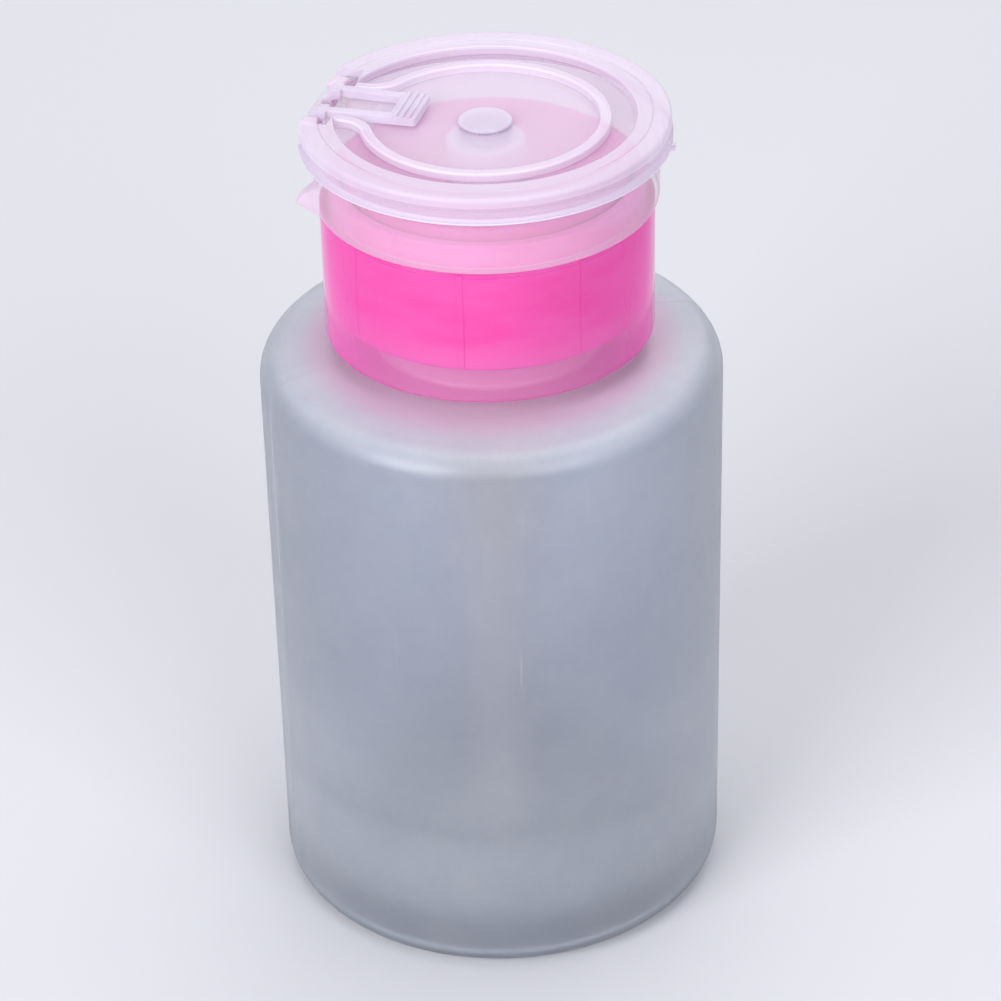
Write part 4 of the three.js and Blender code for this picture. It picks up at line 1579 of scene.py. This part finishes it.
@dataclass(frozen=True)
class Dish:
    """The press dish with its boss, and the nozzle cap and ball in the middle of it."""

    radius: float = 18.0
    top: float = 106.0
    lip: float = 0.8
    floor_radius: float = 15.0
    floor: float = 103.7
    wall: float = 1.2
    skirt_bottom: float = 102.7
    step_radius: float = 8.0
    step_rise: float = 0.25
    boss: float = 4.0
    boss_top: float = 107.9
    boss_bottom: float = 101.2
    socket: float = 2.9
    chamber: float = 2.0
    seat_hole: float = 1.0
    seat_bottom: float = 104.1
    ball: float = 1.5
    nozzle_bore: float = 4.3
    nozzle: float = 5.0
    nozzle_bottom: float = 104.25
    nozzle_top: float = 109.4
    nozzle_roof: float = 1.0
    nozzle_hole: float = 1.15

    def build(self, dresser: Dresser) -> None:
        """Build and dress the dish, its nozzle and its ball.

        Args:
            dresser: Dresses the pieces.
        """
        under, step_top = self.floor - self.wall, self.floor + self.step_rise
        skirt_inner = self.radius - self.wall
        outline = [
            (self.seat_hole, self.floor),
            (self.socket, self.floor, 0.1),
            (self.socket, self.boss_bottom, 0.2),
            (self.boss, self.boss_bottom, 0.3),
            (self.boss, under, 0.3),
            (self.floor_radius, under, 0.5),
            (skirt_inner, self.skirt_bottom + self.wall, 0.2),
            (skirt_inner, self.skirt_bottom),
            (self.radius, self.skirt_bottom, 0.2),
            (self.radius, self.top, 0.4),
            (self.radius - self.lip, self.top, 0.6),
            (self.floor_radius, self.floor, 1.6),
            (self.step_radius, self.floor, 0.15),
            (self.step_radius, step_top, 0.15),
            (self.boss, step_top, 0.3),
            (self.boss, self.boss_top, 0.3),
            (self.chamber, self.boss_top, 0.2),
            (self.chamber, self.seat_bottom + self.chamber - self.seat_hole, 0.3),
            (self.seat_hole, self.seat_bottom, 0.1),
        ]
        piece = turned("dish", outline, FINE_STEPS)
        dresser.dress(piece, PINK, Body.PLUNGER, "press_dish")
        roof = self.nozzle_top - self.nozzle_roof
        nozzle = [
            (self.nozzle_bore, self.nozzle_bottom, 0.15),
            (self.nozzle, self.nozzle_bottom, 0.2),
            (self.nozzle, self.nozzle_top, 0.5),
            (self.nozzle_hole, self.nozzle_top, 0.2),
            (self.nozzle_hole, roof, 0.1),
            (self.nozzle_bore, roof, 0.2),
        ]
        piece = turned("nozzle", nozzle, SMALL_STEPS)
        dresser.dress(piece, NOZZLE, Body.PLUNGER, "nozzle_cap")
        height = self.seat_bottom - self.seat_hole + (self.ball + CLEARANCE) * math.sqrt(2)
        piece = ball("upper_ball", self.ball, height)
        dresser.dress(piece, STEEL, Body.OUTLET, "outlet_ball")


@dataclass(frozen=True)
class Lid:
    """The clear flip lid with its trough, keyhole rib and skirt, and the stopper in its middle."""

    hinge: Hinge = Hinge()
    radius: float = 23.25
    top: float = 112.8
    edge: float = 0.5
    plate_under: float = 111.7
    skirt_inner: float = 22.15
    skirt: float = 23.4
    skirt_bottom: float = 109.2
    groove: float = 110.9
    groove_size: float = 0.3
    plug: float = 20.0
    trough: float = 18.95
    rim_line: float = 20.9  # a fine step and groove in the top of the rim
    rim_drop: float = 0.12
    rim_groove: float = 0.15
    panel_top: float = 111.1
    panel_under: float = 110.4
    window_reach: float = 0.7  # how far the room for the hinge cuts into the trough
    rib: float = 15.05
    rib_wall: float = 1.4
    rib_top: float = 112.3
    rib_half: float = 4.7  # half distance between the middles of its straight walls
    rib_run: float = 1.0  # how far inside the trough's side their middle point lies
    rib_fillet: float = 4.0
    rib_steps: int = 112
    fillet_steps: int = 12
    slot_x: float = -9.85
    slot_half: tuple[float, float] = (1.05, 1.9)
    nib_angle: float = 5.5
    nib_size: float = 0.9
    nib_reach: float = 0.45
    nib_lift: float = 0.05  # above the skirt's lower edge
    stopper: float = 3.4
    stopper_neck: float = 2.7
    stopper_disc: float = 0.4
    stopper_bottom: float = 109.7
    stopper_top: float = 111.8
    tip: float = 0.85
    tip_bottom: float = 109.0

    def build(self, dresser: Dresser) -> None:
        """Build and dress the lid and its stopper.

        Args:
            dresser: Dresses the pieces.
        """
        piece = turned("clear_lid", self._section(), FINE_STEPS)
        half = self.rib_wall / 2
        plan = [*self._keyhole(half), *reversed(self._keyhole(-half))]
        middle = (self.panel_top + self.panel_under) / 2
        combine(piece, raised("rib", plan, middle, self.rib_top, edge=0.25), Join.ADD)
        window = self.hinge.window
        low = (-(self.skirt + OVERRUN), -window, self.skirt_bottom - OVERRUN)
        high = (self.window_reach - self.trough, window, self.top + OVERRUN)
        combine(piece, block("gap", low, high), Join.CUT)
        reach, width = self.slot_half
        low = (self.slot_x - reach, -width, self.panel_under - OVERRUN)
        high = (self.slot_x + reach, width, self.panel_top + OVERRUN)
        combine(piece, block("slot", low, high), Join.CUT)
        low = (self.skirt - SINK, -self.nib_size / 2, self.skirt_bottom + self.nib_lift)
        high = (self.skirt + self.nib_reach, self.nib_size / 2, self.skirt_bottom + self.nib_size)
        combine(piece, spun(block("nib", low, high, edge=0.12), self.nib_angle), Join.ADD)
        # The union can leave a sliver of the skirt open beside the nib
        enter(piece)
        bpy.ops.mesh.fill_holes(sides=4)
        leave()
        dresser.dress(piece, LID, Body.LID, "lid_shell")
        lower_top = self.stopper_bottom + self.stopper_disc
        upper_bottom = self.stopper_top - self.stopper_disc
        stopper = [
            (0, self.tip_bottom),
            (self.tip, self.tip_bottom, 0.2),
            (self.tip, self.stopper_bottom, 0.1),
            (self.stopper, self.stopper_bottom, 0.12),
            (self.stopper, lower_top, 0.12),
            (self.stopper_neck, lower_top, 0.1),
            (self.stopper_neck, upper_bottom, 0.1),
            (self.stopper, upper_bottom, 0.12),
            (self.stopper, self.stopper_top, 0.2),
            (0, self.stopper_top),
        ]
        piece = turned("stopper", stopper, SMALL_STEPS)
        dresser.dress(piece, PALE, Body.LID, "lid_stopper")

    def _section(self) -> Outline:
        """Return the outline that the lid's shell is turned from.

        Returns:
            Its corners, from the stopper's hole outwards and back.
        """
        groove, size = self.groove, self.groove_size
        hole = self.stopper_neck + CLEARANCE
        rim_inner = self.top - self.rim_drop
        return [
            (hole, self.panel_under, 0.1),
            (self.plug, self.panel_under, 0.3),
            (self.plug, self.plate_under, 0.2),
            (self.skirt_inner, self.plate_under, 0.2),
            (self.skirt_inner, self.skirt_bottom, 0.2),
            (self.skirt, self.skirt_bottom, 0.3),
            (self.skirt, groove - size, 0.12),
            (self.radius - size, groove, 0.12),
            (self.radius, groove + size, 0.15),
            (self.radius, self.top, self.edge),
            (self.rim_line + self.rim_groove, self.top, 0.08),
            (self.rim_line, rim_inner - self.rim_groove, 0.06),
            (self.rim_line - self.rim_groove, rim_inner, 0.08),
            (self.trough, rim_inner, 0.2),
            (self.trough, self.panel_top, 0.3),
            (hole, self.panel_top, 0.1),
        ]

    def _keyhole(self, offset: float) -> list[Vector]:
        """Return one edge of the keyhole rib, from one end of its straight walls to the other.

        Args:
            offset: How far the edge lies outside the rib's middle line.

        Returns:
            Places in plan.
        """
        reach, rise = self.rib + self.rib_fillet, self.rib_half + self.rib_fillet
        run = math.sqrt(reach * reach - rise * rise)
        turn = math.degrees(math.atan2(rise, run))
        upper = [
            Vector((-(self.trough + self.plug) / 2, self.rib_half + offset)),
            Vector((self.rib_run - self.trough, self.rib_half + offset)),
            *arc((-run, rise), self.rib_fillet - offset, -90, -turn, self.fillet_steps),
        ]
        around = arc((0, 0), self.rib + offset, 180 - turn, turn - 180, self.rib_steps)[1:-1]
        return [*upper, *around, *(Vector((p.x, -p.y)) for p in reversed(upper))]


@dataclass(frozen=True)
class Strap:
    """The U-shaped hinge strap with its knuckles, ribbed cross block and peg."""

    hinge: Hinge = Hinge()
    bottom: float = 111.4
    top: float = 112.5
    root: float = -20.75
    root_half: float = 3.75
    end: float = -8.1
    end_half: float = 3.4
    leg: float = 1.2
    cross: float = 3.5
    knuckle_steps: int = 36
    grip_count: int = 3
    grip_width: float = 0.5
    grip_height: float = 0.25
    peg_length: float = 1.5
    peg_half: float = 1.6
    peg_bottom: float = 110.1

    def build(self, dresser: Dresser) -> None:
        """Build and dress the strap.

        Args:
            dresser: Dresses the piece.
        """
        cross = self.end - self.cross
        inner_root, inner_end = self.root_half - self.leg, self.end_half - self.leg
        plan = rounded(
            [
                (self.root, -self.root_half),
                (self.end, -self.end_half, 0.5),
                (self.end, self.end_half, 0.5),
                (self.root, self.root_half),
                (self.root, inner_root),
                (cross, inner_end, 0.4),
                (cross, -inner_end, 0.4),
                (self.root, -inner_root),
            ]
        )
        piece = raised("hinge_strap", plan, self.bottom, self.top, edge=0.15)
        for side in (-1, 1):
            start, end = sorted((side * self.hinge.near, side * self.hinge.far))
            knuckle = sideways("knuckle", self._knuckle(), start, end)
            combine(piece, softened(knuckle, width=0.12), Join.ADD)
        combine(piece, self.hinge.bar("bore", self.hinge.bore, self.hinge.far + OVERRUN), Join.CUT)
        half = self.grip_width / 2
        for i in range(1, self.grip_count + 1):
            middle = self.end - i * self.cross / (self.grip_count + 1)
            low = (middle - half, -self.end_half, self.top - SINK)
            high = (middle + half, self.end_half, self.top + self.grip_height)
            combine(piece, block("grip", low, high, edge=0.1), Join.ADD)
        middle = (self.end + cross) / 2
        low = (middle - self.peg_length / 2, -self.peg_half, self.peg_bottom)
        high = (middle + self.peg_length / 2, self.peg_half, self.bottom + SINK)
        combine(piece, block("peg", low, high, edge=0.15), Join.ADD)
        dresser.dress(piece, PALE, Body.LID, "hinge_loop")

    def _knuckle(self) -> list[Vector]:
        """Return a knuckle's outline, round about the pin and rising to the leg's top.

        Returns:
            Its (x, z) points.
        """
        hinge = self.hinge
        return [
            *arc((hinge.x, hinge.z), hinge.knuckle, 135, 360, self.knuckle_steps),
            Vector((self.root, self.bottom - SINK)),
            Vector((self.root + self.leg, self.bottom)),
            Vector((self.root + self.leg, self.top)),
            Vector((self.root, self.top)),
        ]


@dataclass(frozen=True)
class Studio:
    """The camera, the pale floor, the soft lamps and the even light of the room, in metres."""

    lens: float = 131.29
    sensor: float = 36.0
    camera_place: tuple[float, float, float] = (0.11579, -0.39090, 0.31724)
    camera_angles: tuple[float, float, float] = (57.27434, 1.17949, 15.63753)
    floor_size: float = 6.0
    floor_colour: str = "D8D8DE"
    floor_roughness: float = 0.9
    room_colour: str = "F2F4FA"
    room_strength: float = 0.45
    aim: tuple[float, float, float] = (0.0, 0.0, 0.06)  # where the lamps point
    # name, place, width and watts
    lamps: tuple[tuple[str, tuple[float, float, float], float, float], ...] = (
        ("lamp_left", (-0.66, -1.41, 0.9), 1.0, 20.0),
        ("lamp_right", (1.17, -1.06, 0.9), 1.0, 12.0),
        ("lamp_top", (0.0, 0.4, 1.7), 1.4, 11.6),
        ("lamp_back", (-0.2, 1.5, 0.7), 1.0, 3.0),
    )

    def add_camera(self) -> None:
        """Put the camera where the photograph was taken from."""
        data = bpy.data.cameras.new("camera")
        data.lens = self.lens
        data.sensor_width = self.sensor
        camera = bpy.data.objects.new("camera", data)
        camera.location = self.camera_place
        camera.rotation_euler = [math.radians(angle) for angle in self.camera_angles]
        bpy.context.scene.collection.objects.link(camera)
        bpy.context.scene.camera = camera

    def add_floor(self) -> None:
        """Add a floor of matt pale paper."""
        deselect()
        bpy.ops.mesh.primitive_plane_add(size=self.floor_size, location=(0, 0, 0))
        floor = settled("floor")
        graph = Graph("floor_paper")
        paper = {"Base Color": linear(self.floor_colour), "Roughness": self.floor_roughness}
        floor.data.materials.append(graph.finish(graph.add("ShaderNodeBsdfPrincipled", paper)))

    def add_light(self) -> None:
        """Add the room's even light and the square lamps."""
        world = bpy.data.worlds.new("room")
        world.use_nodes = True
        background = world.node_tree.nodes["Background"]
        background.inputs["Color"].default_value = linear(self.room_colour)
        background.inputs["Strength"].default_value = self.room_strength
        bpy.context.scene.world = world
        for name, place, size, power in self.lamps:
            data = bpy.data.lights.new(name, "AREA")
            data.shape = "SQUARE"
            data.size = size
            data.energy = power
            lamp = bpy.data.objects.new(name, data)
            lamp.location = place
            lamp.rotation_euler = (Vector(self.aim) - Vector(place)).to_track_quat("-Z", "Y").to_euler()
            bpy.context.scene.collection.objects.link(lamp)


def main() -> None:
    """Build the pump bottle, its studio and the camera."""
    logging.basicConfig(level=logging.INFO)
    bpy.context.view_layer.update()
    studio = Studio()
    studio.add_camera()
    dresser = Dresser()
    for part in (Bottle(), Pump(), Closure(), Band(), Dish(), Lid(), Strap()):
        LOG.info("building %s", type(part).__name__)
        part.build(dresser)
    studio.add_floor()
    studio.add_light()
    bpy.context.scene.view_settings.view_transform = "Standard"
    LOG.info("%d pieces dressed", dresser.count)


if __name__ == "__main__":
    main()
